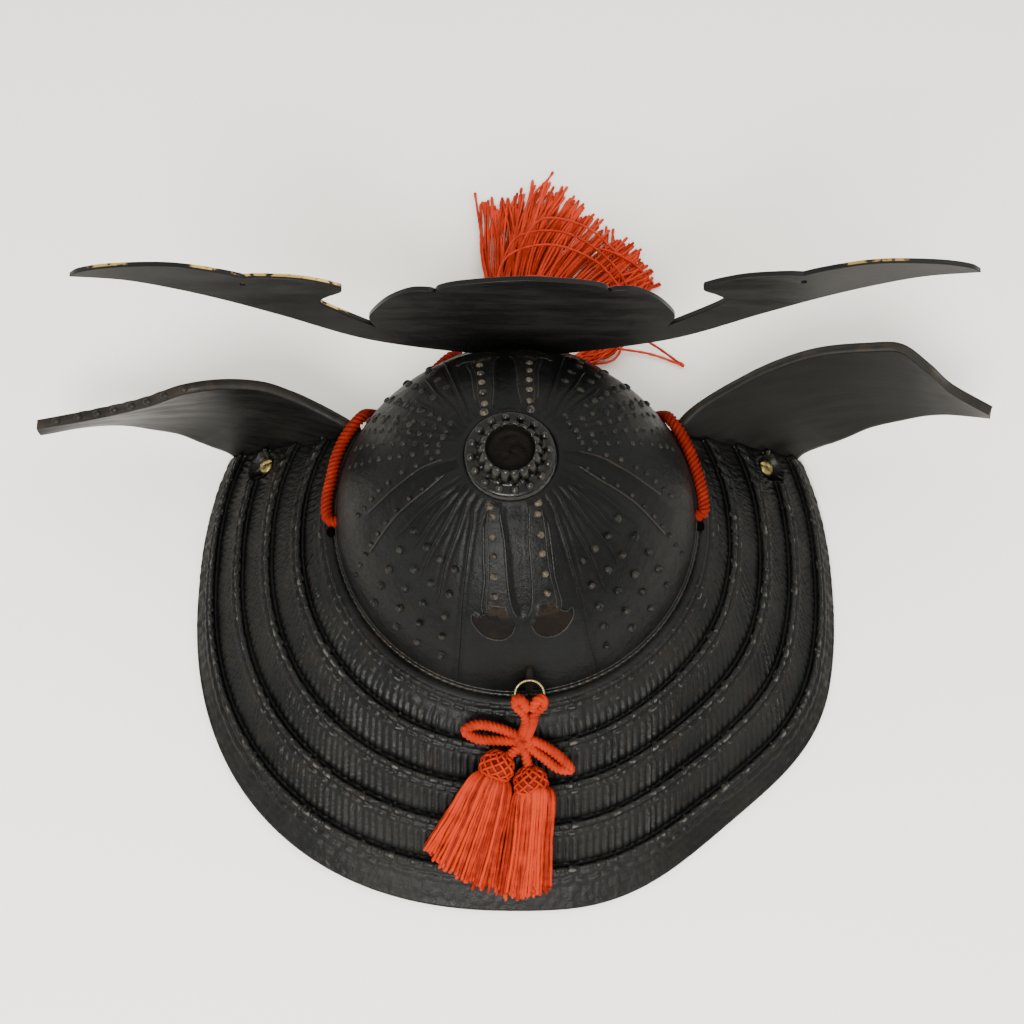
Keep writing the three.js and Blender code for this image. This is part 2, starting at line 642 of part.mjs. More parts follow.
// Section of the guard, as shares out and heights, at a weight from 0 at the side to 1 at the back
function guardSection(weight) {
  const edges = LAME_EDGES.map((edge) => ({
    out: mix(edge.side, edge.back, weight),
    up: GUARD_HEIGHT * edge.up,
  }));
  const backWidth = GUARD_SET_BACK + GUARD_HALF_LENGTH - BOWL_BACK;
  const width = mix(GUARD_HALF_WIDTH - BOWL_HALF_WIDTH, backWidth, weight);
  const share = (length) => length / width;
  const section = [{ out: 0, up: GUARD_HEIGHT - GAP }];
  edges.forEach((edge, index) => {
    const next = edges[index + 1] ?? { out: 1, up: 0 };
    const lip = index === 0 ? 0 : LAME_STEP;
    section.push({ out: edge.out, up: edge.up + lip - (index === 0 ? GAP : 0) });
    section.push({ out: edge.out + share(LAME_LIP), up: edge.up + lip - LAME_BEVEL });
    if (next.up > 0) section.push({ out: next.out - share(LAME_UNDERCUT), up: next.up });
  });
  section.push({ out: 1, up: RIM_EDGE });
  section.push({ out: 1, up: 0 });
  section.push({ out: 1 - share(GUARD_FOOT), up: 0 });
  for (const edge of [...edges].reverse()) {
    if (edge.up < GUARD_HEIGHT) section.push({ out: edge.out - share(RIM_EDGE), up: edge.up - GUARD_WALL });
  }
  const ledgeTop = GUARD_HEIGHT - BOWL_SKIRT - GAP;
  section.push({ out: share(LAME_LIP), up: ledgeTop - LEDGE_THICKNESS });
  section.push({ out: -share(LEDGE_WIDTH), up: ledgeTop - LEDGE_THICKNESS });
  section.push({ out: -share(LEDGE_WIDTH), up: ledgeTop });
  section.push({ out: 0, up: ledgeTop });
  return section;
}

// Slope of the guard's outer face at a front corner
const guardSlope = Math.atan2(GUARD_HEIGHT, GUARD_HALF_WIDTH - BOWL_HALF_WIDTH);

function guardLoft() {
  const rings = [];
  for (let station = 0; station <= GUARD_STATIONS; station++) {
    const s = (2 * station) / GUARD_STATIONS - 1;
    const ring = [];
    const weight = Math.cos((s * Math.PI) / 2) ** 1.5;
    for (const { out, up } of guardSection(weight)) {
      const reach = Math.PI / 2 + guardEndAngle(THREE.MathUtils.clamp(out, 0, 1));
      const plan = guardPlan(Math.PI / 2 - s * reach, out);
      ring.push(new THREE.Vector3(plan.x, plan.y, up));
    }
    rings.push(ring);
  }
  return loftOf(rings, (point) => new THREE.Vector2(point.x, point.z));
}

// Screw axis through the guard's front corner: the seat of its head and the direction out
function screwFrame(side) {
  const y = -(guardFront(SCREW_OUT) - SCREW_BEHIND_FRONT);
  const plan = guardPlan(-guardEndAngle(SCREW_OUT), SCREW_OUT);
  const out = new THREE.Vector3(side * Math.sin(guardSlope), 0, Math.cos(guardSlope));
  const height = GUARD_HEIGHT * (1 - SCREW_OUT) + SCREW_SEAT_UP;
  return { point: new THREE.Vector3(side * (plan.x + SCREW_SEAT_OUT), y, height), out };
}

function guardPiece() {
  const cutters = [];
  for (const side of [1, -1]) {
    const { point, out } = screwFrame(side);
    cutters.push(pin(SCREW_SHANK_RADIUS + GAP, point, out, -4 * GUARD_WALL, 2));
    cutters.push(pin(SCREW_HEAD_RADIUS + 2 * GAP, point, out, 0, 3 * SCREW_HEAD_HEIGHT));
  }
  return piece('neck_guard', cut(guardLoft(), cutters), IRON);
}

// Wing plate through the rows of an edge table, mirrored by the side's sign
function wingPlate(edges, side) {
  const innerCorner = guardPlan(-guardEndAngle(0), 0).x + WING_ROOT_INSET;
  const outerCorner = guardPlan(-guardEndAngle(1), 1).x - WING_ROOT_SHORT;
  const tipOut = guardPlan(-guardEndAngle(1), 1).x + WING_SPAN;
  const rootReach = edges[0].lowOut;
  const rootFront = (out) => mix(GUARD_FRONT_AT_BOWL, GUARD_FRONT_AT_RIM, Math.min(out / rootReach, 1));
  const across = (out) => (out < rootReach
    ? mix(innerCorner, outerCorner, out / rootReach)
    : mix(outerCorner, tipOut, (out - rootReach) / (1 - rootReach)));
  const at = (out, ahead, up) => new THREE.Vector3(
    across(out),
    -(rootFront(out) + 2 * GAP + ahead * WING_AHEAD),
    up * WING_HEIGHT,
  );
  const topCurve = new THREE.CatmullRomCurve3(edges.map((row) => at(row.topOut, row.topAhead, row.topUp)));
  const lowCurve = new THREE.CatmullRomCurve3(edges.map((row) => at(row.lowOut, row.lowAhead, row.lowUp)));
  const columns = 2 * (edges.length - 1);
  const surface = (column, row) => {
    const top = topCurve.getPoint(column / columns);
    const low = lowCurve.getPoint(column / columns);
    return top.lerp(low, row);
  };
  // The root face lies flat along the guard's slanted front end
  const inner = at(0, 0, 0);
  const outer = at(rootReach, 0, 0);
  const rootY = (x) => THREE.MathUtils.mapLinear(
    THREE.MathUtils.clamp(x, inner.x, outer.x), inner.x, outer.x, inner.y, outer.y,
  );
  const rings = [];
  for (let column = 0; column <= columns; column++) {
    const face = [];
    const back = [];
    for (const row of [0, 1]) {
      const point = surface(column, row);
      const before = surface(Math.max(column - 1, 0), row);
      const alongRow = surface(Math.min(column + 1, columns), row).sub(before);
      const acrossRow = surface(column, 1).sub(surface(column, 0));
      const normal = alongRow.cross(acrossRow).normalize();
      const shift = Math.min(column / 4, 1) / 2;
      face.push(point.clone().addScaledVector(normal, WING_PLATE * (shift - 0.5)));
      back.unshift(point.clone().addScaledVector(normal, WING_PLATE * (shift + 0.5)));
    }
    const ring = [...face, ...back];
    if (column === 0) ring.forEach((corner) => corner.setY(rootY(corner.x)));
    rings.push(ring);
  }
  const plate = loftOf(rings, (point) => new THREE.Vector2(point.x, point.z));
  if (side < 0) {
    plate.scale(-1, 1, 1);
    plate.setIndex([...plate.index.array].reverse());
  }
  return plate;
}

// Tab of the wing that runs back under the guard's front corner, where the screw holds it
function wingTab(side) {
  const { point, out } = screwFrame(side);
  const depth = GUARD_WALL + LAME_STEP + WING_TAB_CLEARANCE;
  const length = WING_TAB_LENGTH + 2 * WING_TAB_THICKNESS;
  const tab = new THREE.BoxGeometry(WING_TAB_WIDTH, length, WING_TAB_THICKNESS);
  tab.translate(0, -WING_TAB_THICKNESS, -depth - WING_TAB_THICKNESS / 2);
  const foot = new THREE.BoxGeometry(WING_TAB_WIDTH, WING_PLATE, depth + WING_TAB_THICKNESS);
  const footMiddle = -(depth + WING_TAB_THICKNESS) / 2 - WING_FOOT_SINK;
  foot.translate(0, -(SCREW_BEHIND_FRONT + 3 * GAP + WING_PLATE / 2), footMiddle);
  return [tab, foot].map((geometry) => {
    geometry.rotateY(side * guardSlope);
    geometry.translate(point.x, point.y, point.z);
    return geometry;
  });
}

function wingPiece(name, edges, side) {
  const { point, out } = screwFrame(side);
  const hole = pin(SCREW_SHANK_RADIUS + GAP, point, out, -6 * GUARD_WALL, 0);
  const body = joined([wingPlate(edges, side), ...wingTab(side)]);
  return piece(name, cut(body, [hole]), LACQUER);
}

function screwPiece(name, side) {
  const { point, out } = screwFrame(side);
  const length = GUARD_WALL + LAME_STEP + WING_TAB_THICKNESS + SCREW_PROUD;
  const shank = [[0, -length], [SCREW_SHANK_RADIUS, -length], [SCREW_SHANK_RADIUS, GAP]];
  const head = SCREW_PROFILE.map((row) => [row.out * SCREW_HEAD_RADIUS, row.up * SCREW_HEAD_HEIGHT]);
  const profile = [...shank, ...head].map(([radius, height]) => new THREE.Vector2(radius, height));
  const screw = new THREE.LatheGeometry(profile, 12);
  const slot = new THREE.BoxGeometry(SCREW_SLOT_WIDTH, 2 * SCREW_SLOT_DEPTH, 3 * SCREW_HEAD_RADIUS);
  slot.rotateY(radians(SCREW_SLOT_TURN * side));
  slot.translate(0, SCREW_HEAD_HEIGHT, 0);
  const geometry = cut(joined([screw]), [slot]);
  geometry.applyQuaternion(new THREE.Quaternion().setFromUnitVectors(new THREE.Vector3(0, 1, 0), out));
  geometry.translate(point.x, point.y, point.z);
  return piece(name, geometry, BRASS);
}

const CREST_BACK = BOWL_FRONT + CREST_STANDOFF;

// Visor: a short brim under the bowl's front edge, with a boss that holds the crest's tang
const VISOR_TOP = GUARD_HEIGHT - BOWL_SKIRT - GAP;

function visorPiece() {
  const rings = [];
  for (let step = 0; step <= VISOR_STATIONS; step++) {
    const turn = mix(-VISOR_HALF_ANGLE, VISOR_HALF_ANGLE, step / VISOR_STATIONS);
    const angle = radians(turn - 90);
    const reach = VISOR_REACH * Math.cos(radians((turn / VISOR_HALF_ANGLE) * VISOR_END_TAPER));
    const ring = [];
    for (const share of [0, 0.3, 0.6, 1]) {
      const plan = bowlPlan(angle, mix(-BOWL_WALL, reach, share));
      const droop = VISOR_DROP * Math.max(share - VISOR_FLAT, 0) ** 1.5;
      ring.push(new THREE.Vector3(plan.x, plan.y, VISOR_TOP - droop));
    }
    const under = ring.map((point) => new THREE.Vector3(point.x, point.y, point.z - VISOR_PLATE)).reverse();
    rings.push([...ring, ...under]);
  }
  const brim = loftOf(rings, (point) => new THREE.Vector2(-point.y + Math.abs(point.x), point.z));
  const socketHeight = SOCKET_RISE + VISOR_PLATE;
  const socket = new THREE.BoxGeometry(SOCKET_WIDTH, SOCKET_DEPTH, socketHeight);
  const socketMiddle = VISOR_TOP - SOCKET_SINK - socketHeight / 2;
  socket.translate(CREST_SHIFT, -(CREST_BACK + CREST_PLATE / 2), socketMiddle);
  const slot = new THREE.BoxGeometry(TANG_WIDTH + 2 * GAP, CREST_PLATE + 2 * GAP, 2 * SOCKET_RISE);
  slot.translate(CREST_SHIFT, -(CREST_BACK + CREST_PLATE / 2), VISOR_TOP);
  return piece('visor', cut(joined([brim, socket]), [slot]), IRON);
}

// Crest: one flat plate with horns and a lobed middle, standing in the visor's socket
function crestPiece() {
  const half = [];
  for (const run of CREST_RUNS) {
    const nodes = run.map((node) => new THREE.Vector2(node.out * CREST_HALF_SPAN, node.up * CREST_HEIGHT));
    half.push(...new THREE.SplineCurve(nodes).getPoints(Math.ceil(1.5 * (run.length - 1))).slice(1));
  }
  const top = half.pop();
  const side = half.filter((point) => point.x > TANG_WIDTH / 2 + CREST_FOOT_STEP || point.y > CREST_HEIGHT / 2);
  const tangFoot = -(SOCKET_RISE - 2 * GAP);
  const tang = [new THREE.Vector2(TANG_WIDTH / 2, tangFoot), new THREE.Vector2(TANG_WIDTH / 2, 0)];
  const right = [...tang, ...side];
  const mirrored = right.map((point) => new THREE.Vector2(-point.x, point.y)).reverse();
  const outline = [...right, top, ...mirrored];
  const shape = new THREE.Shape(outline);
  for (const way of [1, -1]) {
    const hole = new THREE.Path();
    const out = way * CREST_HOLE_OUT * CREST_HALF_SPAN;
    hole.absarc(out, CREST_HOLE_UP * CREST_HEIGHT, CREST_HOLE_RADIUS, 0, 2 * Math.PI, true);
    shape.holes.push(hole);
  }
  const plate = new THREE.ExtrudeGeometry(shape, { depth: CREST_PLATE, bevelEnabled: false });
  plate.rotateX(Math.PI / 2);
  plate.rotateY(radians(CREST_TILT));
  plate.translate(CREST_SHIFT, -CREST_BACK, VISOR_TOP + GAP);
  return piece('crest', joined([plate]), LACQUER);
}

// Centre of the hook's eye, just off the bowl's skin below the slot that the hook comes out of
function eyeCentre() {
  const slot = bowlFrame(HOOK_TURN, HOOK_CLIMB).point;
  const below = bowlFrame(HOOK_TURN, climbAt(HOOK_HEIGHT - HOOK_EYE_DROP)).point;
  return new THREE.Vector3(slot.x, below.y + HOOK_EYE_STANDOFF, slot.z - HOOK_EYE_DROP);
}

// Strip hook that comes out of the bowl's back and hangs down it, with an eye for the ring on the way
function hookPiece() {
  const { point } = bowlFrame(HOOK_TURN, HOOK_CLIMB);
  const foot = bowlFrame(HOOK_TURN, climbAt(HOOK_HEIGHT - HOOK_LENGTH)).point.y - point.y;
  const out = eyeCentre().y - point.y;
  const half = HOOK_THICKNESS / 2;
  const tail = BOWL_WALL + HOOK_TAIL;
  const bulge = HOOK_EYE_RADIUS + HOOK_THICKNESS;
  const shape = new THREE.Shape();
  shape.moveTo(-tail, -half);
  shape.lineTo(HOOK_BEND - half, -half);
  shape.lineTo(out - bulge + GAP, -HOOK_EYE_DROP);
  shape.lineTo(foot + 3 * GAP, -HOOK_LENGTH);
  shape.lineTo(foot + 3 * GAP + HOOK_THICKNESS, -HOOK_LENGTH);
  shape.absarc(out, -HOOK_EYE_DROP, bulge, -0.35 * Math.PI, 0.5 * Math.PI, false);
  shape.lineTo(HOOK_BEND, half);
  shape.lineTo(-tail, half);
  const eye = new THREE.Path();
  eye.absarc(out, -HOOK_EYE_DROP, HOOK_EYE_RADIUS, 0, 2 * Math.PI, true);
  shape.holes.push(eye);
  const sweep = { depth: HOOK_WIDTH, bevelEnabled: false, curveSegments: 5 };
  const strip = new THREE.ExtrudeGeometry(shape, sweep);
  strip.translate(0, 0, -HOOK_WIDTH / 2);
  strip.rotateX(Math.PI / 2);
  strip.rotateZ(Math.PI / 2);
  strip.translate(point.x, point.y, point.z);
  return piece('ring_hook', joined([strip]), BRASS);
}

// Way from the hook's eye to the lowest point of the ring, for a ring of a given radius
function ringDown(radius) {
  const lean = radians(RING_LEAN);
  return new THREE.Vector3(0, radius * Math.sin(lean), -radius * Math.cos(lean));
}

function ringPiece() {
  const ring = new THREE.TorusGeometry(RING_RADIUS, RING_WIRE / 2, 5, 18);
  ring.rotateX(radians(RING_LEAN) - Math.PI / 2);
  const centre = eyeCentre().add(ringDown(RING_RADIUS));
  ring.translate(centre.x, centre.y, centre.z);
  return piece('ring', joined([ring]), BRASS);
}

function ballOf(radius, centre, stretch = [1, 1, 1]) {
  const ball = new THREE.SphereGeometry(radius, 10, 6);
  ball.scale(...stretch);
  ball.translate(...centre);
  return ball;
}

// Knot hung on the ring: an eye round the wire, two strands, one open and one folded loop, two legs
function knotPiece() {
  const eye = new THREE.TorusGeometry(KNOT_EYE_RADIUS, KNOT_CORD / 2, 5, 9);
  eye.rotateY(Math.PI / 2);
  const bottom = eyeCentre().add(ringDown(2 * RING_RADIUS));
  eye.translate(bottom.x, bottom.y, bottom.z);
  const heartPoint = new THREE.Vector3(...overGuard(KNOT_HEART));
  const toHeart = heartPoint.clone().sub(bottom).setLength(KNOT_EYE_RADIUS);
  const necks = [-1, 1].map((side) => {
    const start = bottom.clone().add(toHeart).setX(bottom.x + toHeart.x + (side * KNOT_CORD) / 2);
    return [start.toArray(), start.clone().lerp(heartPoint, 0.5).toArray(), heartPoint.toArray()];
  });
  const routes = [...necks, ...KNOT_ROUTES.map((route) => route.map(overGuard))];
  const strands = routes.map((route) => rod(route, KNOT_CORD, route.length + 1, 6));
  const heart = ballOf(KNOT_HEART_RADIUS, heartPoint.toArray(), [1, 1, 0.6]);
  return piece('agemaki_knot', joined([eye, heart, ...strands]), SILK);
}

// Rear tassel with its points above the guard's slope
const rearTassel = ({ head, from, tips, ...rest }) => ({
  head: overGuard(head), from: from.map(overGuard), tips: tips.map(overGuard), ...rest,
});

// Tassel: a netted head and locks fanned side by side, all fused
function tasselPiece({ name, head, from, tips, locks }, headSize, lockSize) {
  const ends = new THREE.CatmullRomCurve3(tips.map((tip) => new THREE.Vector3(...tip)));
  const rods = [];
  for (let lock = 0; lock < locks; lock++) {
    const share = lock / (locks - 1);
    const start = from[0].map((value, axis) => mix(value, from[1][axis], share));
    const tip = ends.getPoint(share).toArray();
    rods.push(rod([head, start, tip], lockSize, 3, 5));
  }
  return piece(name, joined([ballOf(headSize / 2, head, [1, 1, 0.9]), ...rods]), SILK);
}

// Chin cord: a stopper knot inside the bowl and one cord out to the front tassel
function chinCordPiece(name, route) {
  const cord = rod(route, CHIN_CORD, 20, 8);
  return piece(name, joined([cord, ballOf(CHIN_KNOT / 2, route[0])]), SILK);
}

const hardware = new THREE.Group();
hardware.add(
  bowlPiece(),
  crownFitting(),
  guardPiece(),
  wingPiece('wing_left', LEFT_WING_EDGES, 1),
  wingPiece('wing_right', RIGHT_WING_EDGES, -1),
  screwPiece('screw_left', 1),
  screwPiece('screw_right', -1),
  visorPiece(),
  crestPiece(),
  hookPiece(),
  ringPiece(),
);
const silk = new THREE.Group();
silk.add(
  knotPiece(),
  ...REAR_TASSELS.map((tassel) => tasselPiece(rearTassel(tassel), REAR_TASSEL_HEAD, REAR_TASSEL_LOCK)),
  chinCordPiece('chin_cord_left', LEFT_CHIN_ROUTE),
  chinCordPiece('chin_cord_right', RIGHT_CHIN_ROUTE),
  tasselPiece(FRONT_TASSEL, FRONT_TASSEL_HEAD, FRONT_TASSEL_LOCK),
);

// The origin stands on the ground under the middle of the metal helmet
const extent = new THREE.Box3().setFromObject(hardware);
const helmet = new THREE.Group();
helmet.add(hardware, silk);
helmet.position.set(-(extent.min.x + extent.max.x) / 2, -(extent.min.y + extent.max.y) / 2, -extent.min.z);

export default helmet;
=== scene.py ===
import math

import bpy
import numpy as np
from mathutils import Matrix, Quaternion, Vector
from mathutils.geometry import tessellate_polygon


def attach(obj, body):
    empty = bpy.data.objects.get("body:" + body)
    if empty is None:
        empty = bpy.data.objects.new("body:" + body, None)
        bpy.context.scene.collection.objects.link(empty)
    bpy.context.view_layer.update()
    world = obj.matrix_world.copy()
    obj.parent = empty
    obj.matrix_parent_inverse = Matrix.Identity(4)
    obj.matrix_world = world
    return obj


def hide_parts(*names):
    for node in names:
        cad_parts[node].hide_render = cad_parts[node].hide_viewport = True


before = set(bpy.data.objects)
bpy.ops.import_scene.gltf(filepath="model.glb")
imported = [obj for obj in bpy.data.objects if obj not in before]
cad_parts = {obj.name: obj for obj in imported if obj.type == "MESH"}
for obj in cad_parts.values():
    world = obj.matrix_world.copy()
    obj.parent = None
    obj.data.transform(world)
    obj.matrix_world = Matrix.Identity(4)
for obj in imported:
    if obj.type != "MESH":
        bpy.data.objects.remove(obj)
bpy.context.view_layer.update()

BODY = "root"

# Sizes are in millimetres from the middle of the bowl, on the ground, as in the part's source.
# The frame's origin lies this far behind the bowl's axis.
ORIGIN = np.array([0.0, -26.25, 0.0])
MM = 0.001

GAP = 0.3
BOWL_HALF_WIDTH, BOWL_BACK, BOWL_FRONT, BOWL_RISE = 59.0, 60.0, 57.0, 53.0
BOWL_TAPER, BOWL_WALL, BOWL_SKIRT = 1.22, 3.0, 4.0
CROWN_SHIFT, CROWN_SEAT = 2.0, 14.0
PATTERN_TURN = 4.0
GUARD_HALF_WIDTH, GUARD_HALF_LENGTH, GUARD_SET_BACK = 110.5, 108.5, 15.0
GUARD_SQUARENESS, GUARD_HEIGHT, GUARD_WALL, GUARD_FOOT = 2.3, 36.0, 3.6, 5.0
GUARD_FLAT_DEPTH, GUARD_FLAT_TURN, GUARD_FLAT_SPREAD = 7.0, 130.0, 34.0
GUARD_FRONT_AT_BOWL, GUARD_FRONT_AT_RIM = 28.5, 32.5
LAME_STEP = 1.7
WING_SPAN, WING_AHEAD, WING_HEIGHT, WING_PLATE = 62.0, 22.0, 57.0, 3.4
CREST_HALF_SPAN, CREST_HEIGHT, CREST_PLATE, CREST_SHIFT = 140.0, 60.0, 1.6, -1.5
CREST_BACK = BOWL_FRONT + 3.0
VISOR_TOP = GUARD_HEIGHT - BOWL_SKIRT - GAP
VISOR_HALF_ANGLE, VISOR_REACH, VISOR_DROP, VISOR_PLATE = 42.0, 14.0, 19.0, 2.6
# The crest's edge shows gilt from here to its front face, in metres along Y
EDGE_GILT_FROM = (ORIGIN[1] - CREST_BACK - 0.55 * CREST_PLATE) * MM
CHIN_CORD, KNOT_CORD = 3.7, 2.5
# How far the plies of the two cords stand out, as shares of their diameters
CHIN_REACH, KNOT_REACH = 0.56, 0.68
CAMERA_EYE, CAMERA_AIM = Vector((0.0014, 0.11995, 0.4385)), Vector((0.0014, -0.02335, 0.0448))
CAMERA_FIELD, CAMERA_ROLL = 42.9, 0.25
FLOOR_HALF = 12.0

rng = np.random.default_rng(7)


# Shapes

def smooth_step(low, high, value):
    """0 below low, 1 above high, smooth between them."""
    share = np.clip((np.asarray(value, float) - low) / (high - low), 0, 1)
    return share * share * (3 - 2 * share)


def ridge(distance, width):
    """Round ridge of height 1 over a line."""
    return np.exp(-(distance / width) ** 2)


def unit(vectors):
    return vectors / np.maximum(np.linalg.norm(vectors, axis=-1, keepdims=True), 1e-12)


def full_turn(count):
    """Angles spaced evenly round a circle."""
    return np.arange(count) / count * 2 * np.pi


def run_along(path):
    """Distance along a path, at each of its points."""
    steps = np.linalg.norm(np.diff(path, axis=0), axis=-1)
    return np.concatenate([np.zeros((1, *steps.shape[1:])), np.cumsum(steps, 0)])


def length_of(path):
    return float(np.linalg.norm(np.diff(path, axis=0), axis=1).sum())


def curve_through(points, count):
    """Evenly spaced points on the centripetal Catmull-Rom curve through the given points."""
    p = np.asarray(points, float)
    p = np.vstack([2 * p[0] - p[1], p, 2 * p[-1] - p[-2]])
    knots = np.concatenate([[0], np.cumsum(np.linalg.norm(np.diff(p, axis=0), axis=1) ** 0.5)])
    found = []
    for k in range(1, len(p) - 2):
        t = np.linspace(knots[k], knots[k + 1], 24, endpoint=k == len(p) - 3)[:, None]
        t0, t1, t2, t3 = knots[k - 1:k + 3]
        a1 = (t1 - t) / (t1 - t0) * p[k - 1] + (t - t0) / (t1 - t0) * p[k]
        a2 = (t2 - t) / (t2 - t1) * p[k] + (t - t1) / (t2 - t1) * p[k + 1]
        a3 = (t3 - t) / (t3 - t2) * p[k + 1] + (t - t2) / (t3 - t2) * p[k + 2]
        b1 = (t2 - t) / (t2 - t0) * a1 + (t - t0) / (t2 - t0) * a2
        b2 = (t3 - t) / (t3 - t1) * a2 + (t - t1) / (t3 - t1) * a3
        found.append((t2 - t) / (t2 - t1) * b1 + (t - t1) / (t2 - t1) * b2)
    fine = np.vstack(found)
    along = run_along(fine)
    at = np.linspace(0, along[-1], count)
    return np.stack([np.interp(at, along, fine[:, axis]) for axis in range(fine.shape[1])], axis=1)


def spaced_curve(points, step, least=2, rough=60):
    """The same curve, with about one step from point to point."""
    return curve_through(points, max(least, int(length_of(curve_through(points, rough)) / step)))


def grid(points, wrap_u=False, wrap_v=False):
    """Points and quads of a grid of points."""
    u, v = points.shape[:2]
    index = np.arange(u * v).reshape(u, v)
    if wrap_u:
        index = np.vstack([index, index[:1]])
    if wrap_v:
        index = np.hstack([index, index[:, :1]])
    quads = np.stack([index[:-1, :-1], index[1:, :-1], index[1:, 1:], index[:-1, 1:]], -1)
    return points.reshape(-1, 3), quads.reshape(-1, 4)


def capped(points):
    """Closed solid through rings: points[ring, side], with a point in the middle of each end."""
    rings, sides = points.shape[:2]
    flat, quads = grid(points, wrap_v=True)
    flat = np.vstack([flat, points[0].mean(0), points[-1].mean(0)])
    first = np.arange(sides)
    last = first + (rings - 1) * sides
    fans = [
        np.stack([first, np.roll(first, -1), np.full(sides, rings * sides)], 1)[:, ::-1],
        np.stack([last, np.roll(last, -1), np.full(sides, rings * sides + 1)], 1),
    ]
    return flat, [quads[:, ::-1], *[fan[:, ::-1] for fan in fans]]


def tube(path, radius, sides, lobes=0, depth=0.0, pitch=1.0):
    """Rings of a round cord along a path. Its plies turn round it once every pitch millimetres."""
    tangent = unit(np.gradient(path, axis=0))
    side = unit(np.cross(tangent[0], [0.31, 0.17, 0.93]))
    sides_of = np.empty_like(path)
    for k, t in enumerate(tangent):
        side = unit(side - t * (side @ t))
        sides_of[k] = side
    other = np.cross(tangent, sides_of)
    turn = full_turn(sides)
    twist = 2 * np.pi * run_along(path)[:, None] / pitch
    ply = np.abs(np.cos(lobes / 2 * (turn[None] - twist)))
    reach = np.broadcast_to(np.asarray(radius, float), (len(path),))[:, None] * (1 - depth * (1 - ply))
    round_it = np.cos(turn)[None, :, None] * sides_of[:, None] + np.sin(turn)[None, :, None] * other[:, None]
    return path[:, None] + reach[..., None] * round_it


def lathe(point, out, side, profile, sides):
    """Rings round the direction out of a point, from pairs of radius and height."""
    turn = full_turn(sides)[:, None]
    circle = np.cos(turn) * side + np.sin(turn) * np.cross(out, side)
    return np.array([point + out * up + radius * circle for radius, up in profile])


def boss_at(point, out, radius, height, sides=10, rings=4, peak=1.0):
    """Small dome on a surface: a closed solid sunk a little into it."""
    out = unit(np.asarray(out, float))
    side = unit(np.cross(out, [0.3, 0.2, 0.9]))
    bends = np.arange(rings) / rings * np.pi / 2
    levels = [(1.25, -0.35 * height), *((np.cos(bend) ** peak, np.sin(bend) * height) for bend in bends), (0.05, height)]
    return capped(lathe(point, out, side, [(radius * share, up) for share, up in levels], sides))


def ball(centre, radii, columns=20, rows=12):
    turn = full_turn(columns)
    rise = np.linspace(-np.pi / 2 + 0.08, np.pi / 2 - 0.08, rows)[:, None]
    shape = np.stack([np.cos(rise) * np.cos(turn), np.cos(rise) * np.sin(turn), np.sin(rise) + 0 * turn], -1)
    return capped(shape * np.asarray(radii, float) + np.asarray(centre, float))


def flat_cap(outline, index):
    """Triangles that fill a flat outline."""
    corners = tessellate_polygon([[Vector((x, y, 0)) for x, y in outline]])
    return np.array([[index[k] for k in corner] for corner in corners])


def closed_strip(rings, axes=(0, 2), signs=(1, 1)):
    """Closed solid through rings, whose first and last are filled as seen along the axis left out."""
    flat, quads = grid(rings, wrap_v=True)
    index = np.arange(rings.shape[1])
    first, last = (flat_cap(rings[end][:, axes] * signs, index + start)
                   for end, start in ((0, 0), (-1, len(flat) - len(index))))
    return flat, [quads, first, last[:, ::-1]]


class Shell:
    """Points, faces and per-point values of one piece, gathered from closed parts."""

    def __init__(self):
        self.points, self.faces, self.values, self.count = [], [], [], 0

    def add(self, points, faces, value=0.0):
        faces = faces if isinstance(faces, list) else [faces]
        corners = np.vstack([f[:, [0, k, k + 1]] for f in faces for k in range(1, f.shape[1] - 1)])
        middle = points.mean(0)
        a, b, c = (points[corners[:, k]] - middle for k in range(3))
        if np.einsum("ij,ij->i", a, np.cross(b, c)).sum() < 0:
            faces = [f[:, ::-1] for f in faces]
        self.points.append(points)
        self.faces += [f + self.count for f in faces]
        self.values.append(np.broadcast_to(np.asarray(value, float), (len(points),)))
        self.count += len(points)
        return self

    def cord(self, path, radius, sides, lobes=0, depth=0.0, pitch=1.0, value=0.0):
        return self.add(*capped(tube(path, radius, sides, lobes, depth, pitch)), value=value)

    def piece(self, name, materials, slot, stands_for=(), shades=None):
        mesh = bpy.data.meshes.new(name)
        points = (np.vstack(self.points) + ORIGIN) * MM
        sizes = np.concatenate([np.full(len(f), f.shape[1]) for f in self.faces])
        corners = np.concatenate([f.ravel() for f in self.faces])
        mesh.vertices.add(len(points))
        mesh.vertices.foreach_set("co", points.ravel())
        mesh.loops.add(len(corners))
        mesh.loops.foreach_set("vertex_index", corners.astype(np.int32))
        mesh.polygons.add(len(sizes))
        starts = np.concatenate([[0], np.cumsum(sizes)[:-1]])
        mesh.polygons.foreach_set("loop_start", starts.astype(np.int32))
        mesh.polygons.foreach_set("loop_total", sizes.astype(np.int32))
        mesh.polygons.foreach_set("use_smooth", np.full(len(sizes), True))
        if shades is not None:
            mesh.polygons.foreach_set("material_index", np.asarray(shades, np.int32))
        mesh.update(calc_edges=True)
        mesh.validate()
        # The height attribute also carries the iron looks' painted shade in hollows and their painted highlights on
        # raised parts, besides the silk's tone.
        height = mesh.attributes.new("height", "FLOAT", "POINT")
        height.data.foreach_set("value", np.concatenate(self.values).astype(np.float32))
        for material in materials if isinstance(materials, list) else [materials]:
            mesh.materials.append(material)
        return settle(bpy.data.objects.new(name, mesh), stands_for)


def settle(piece, stands_for=()):
    """Puts a piece in the scene, on the body, and hides the solids it stands for."""
    bpy.context.scene.collection.objects.link(piece)
    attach(piece, BODY)
    if stands_for:
        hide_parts(*stands_for)
    return piece


# Materials

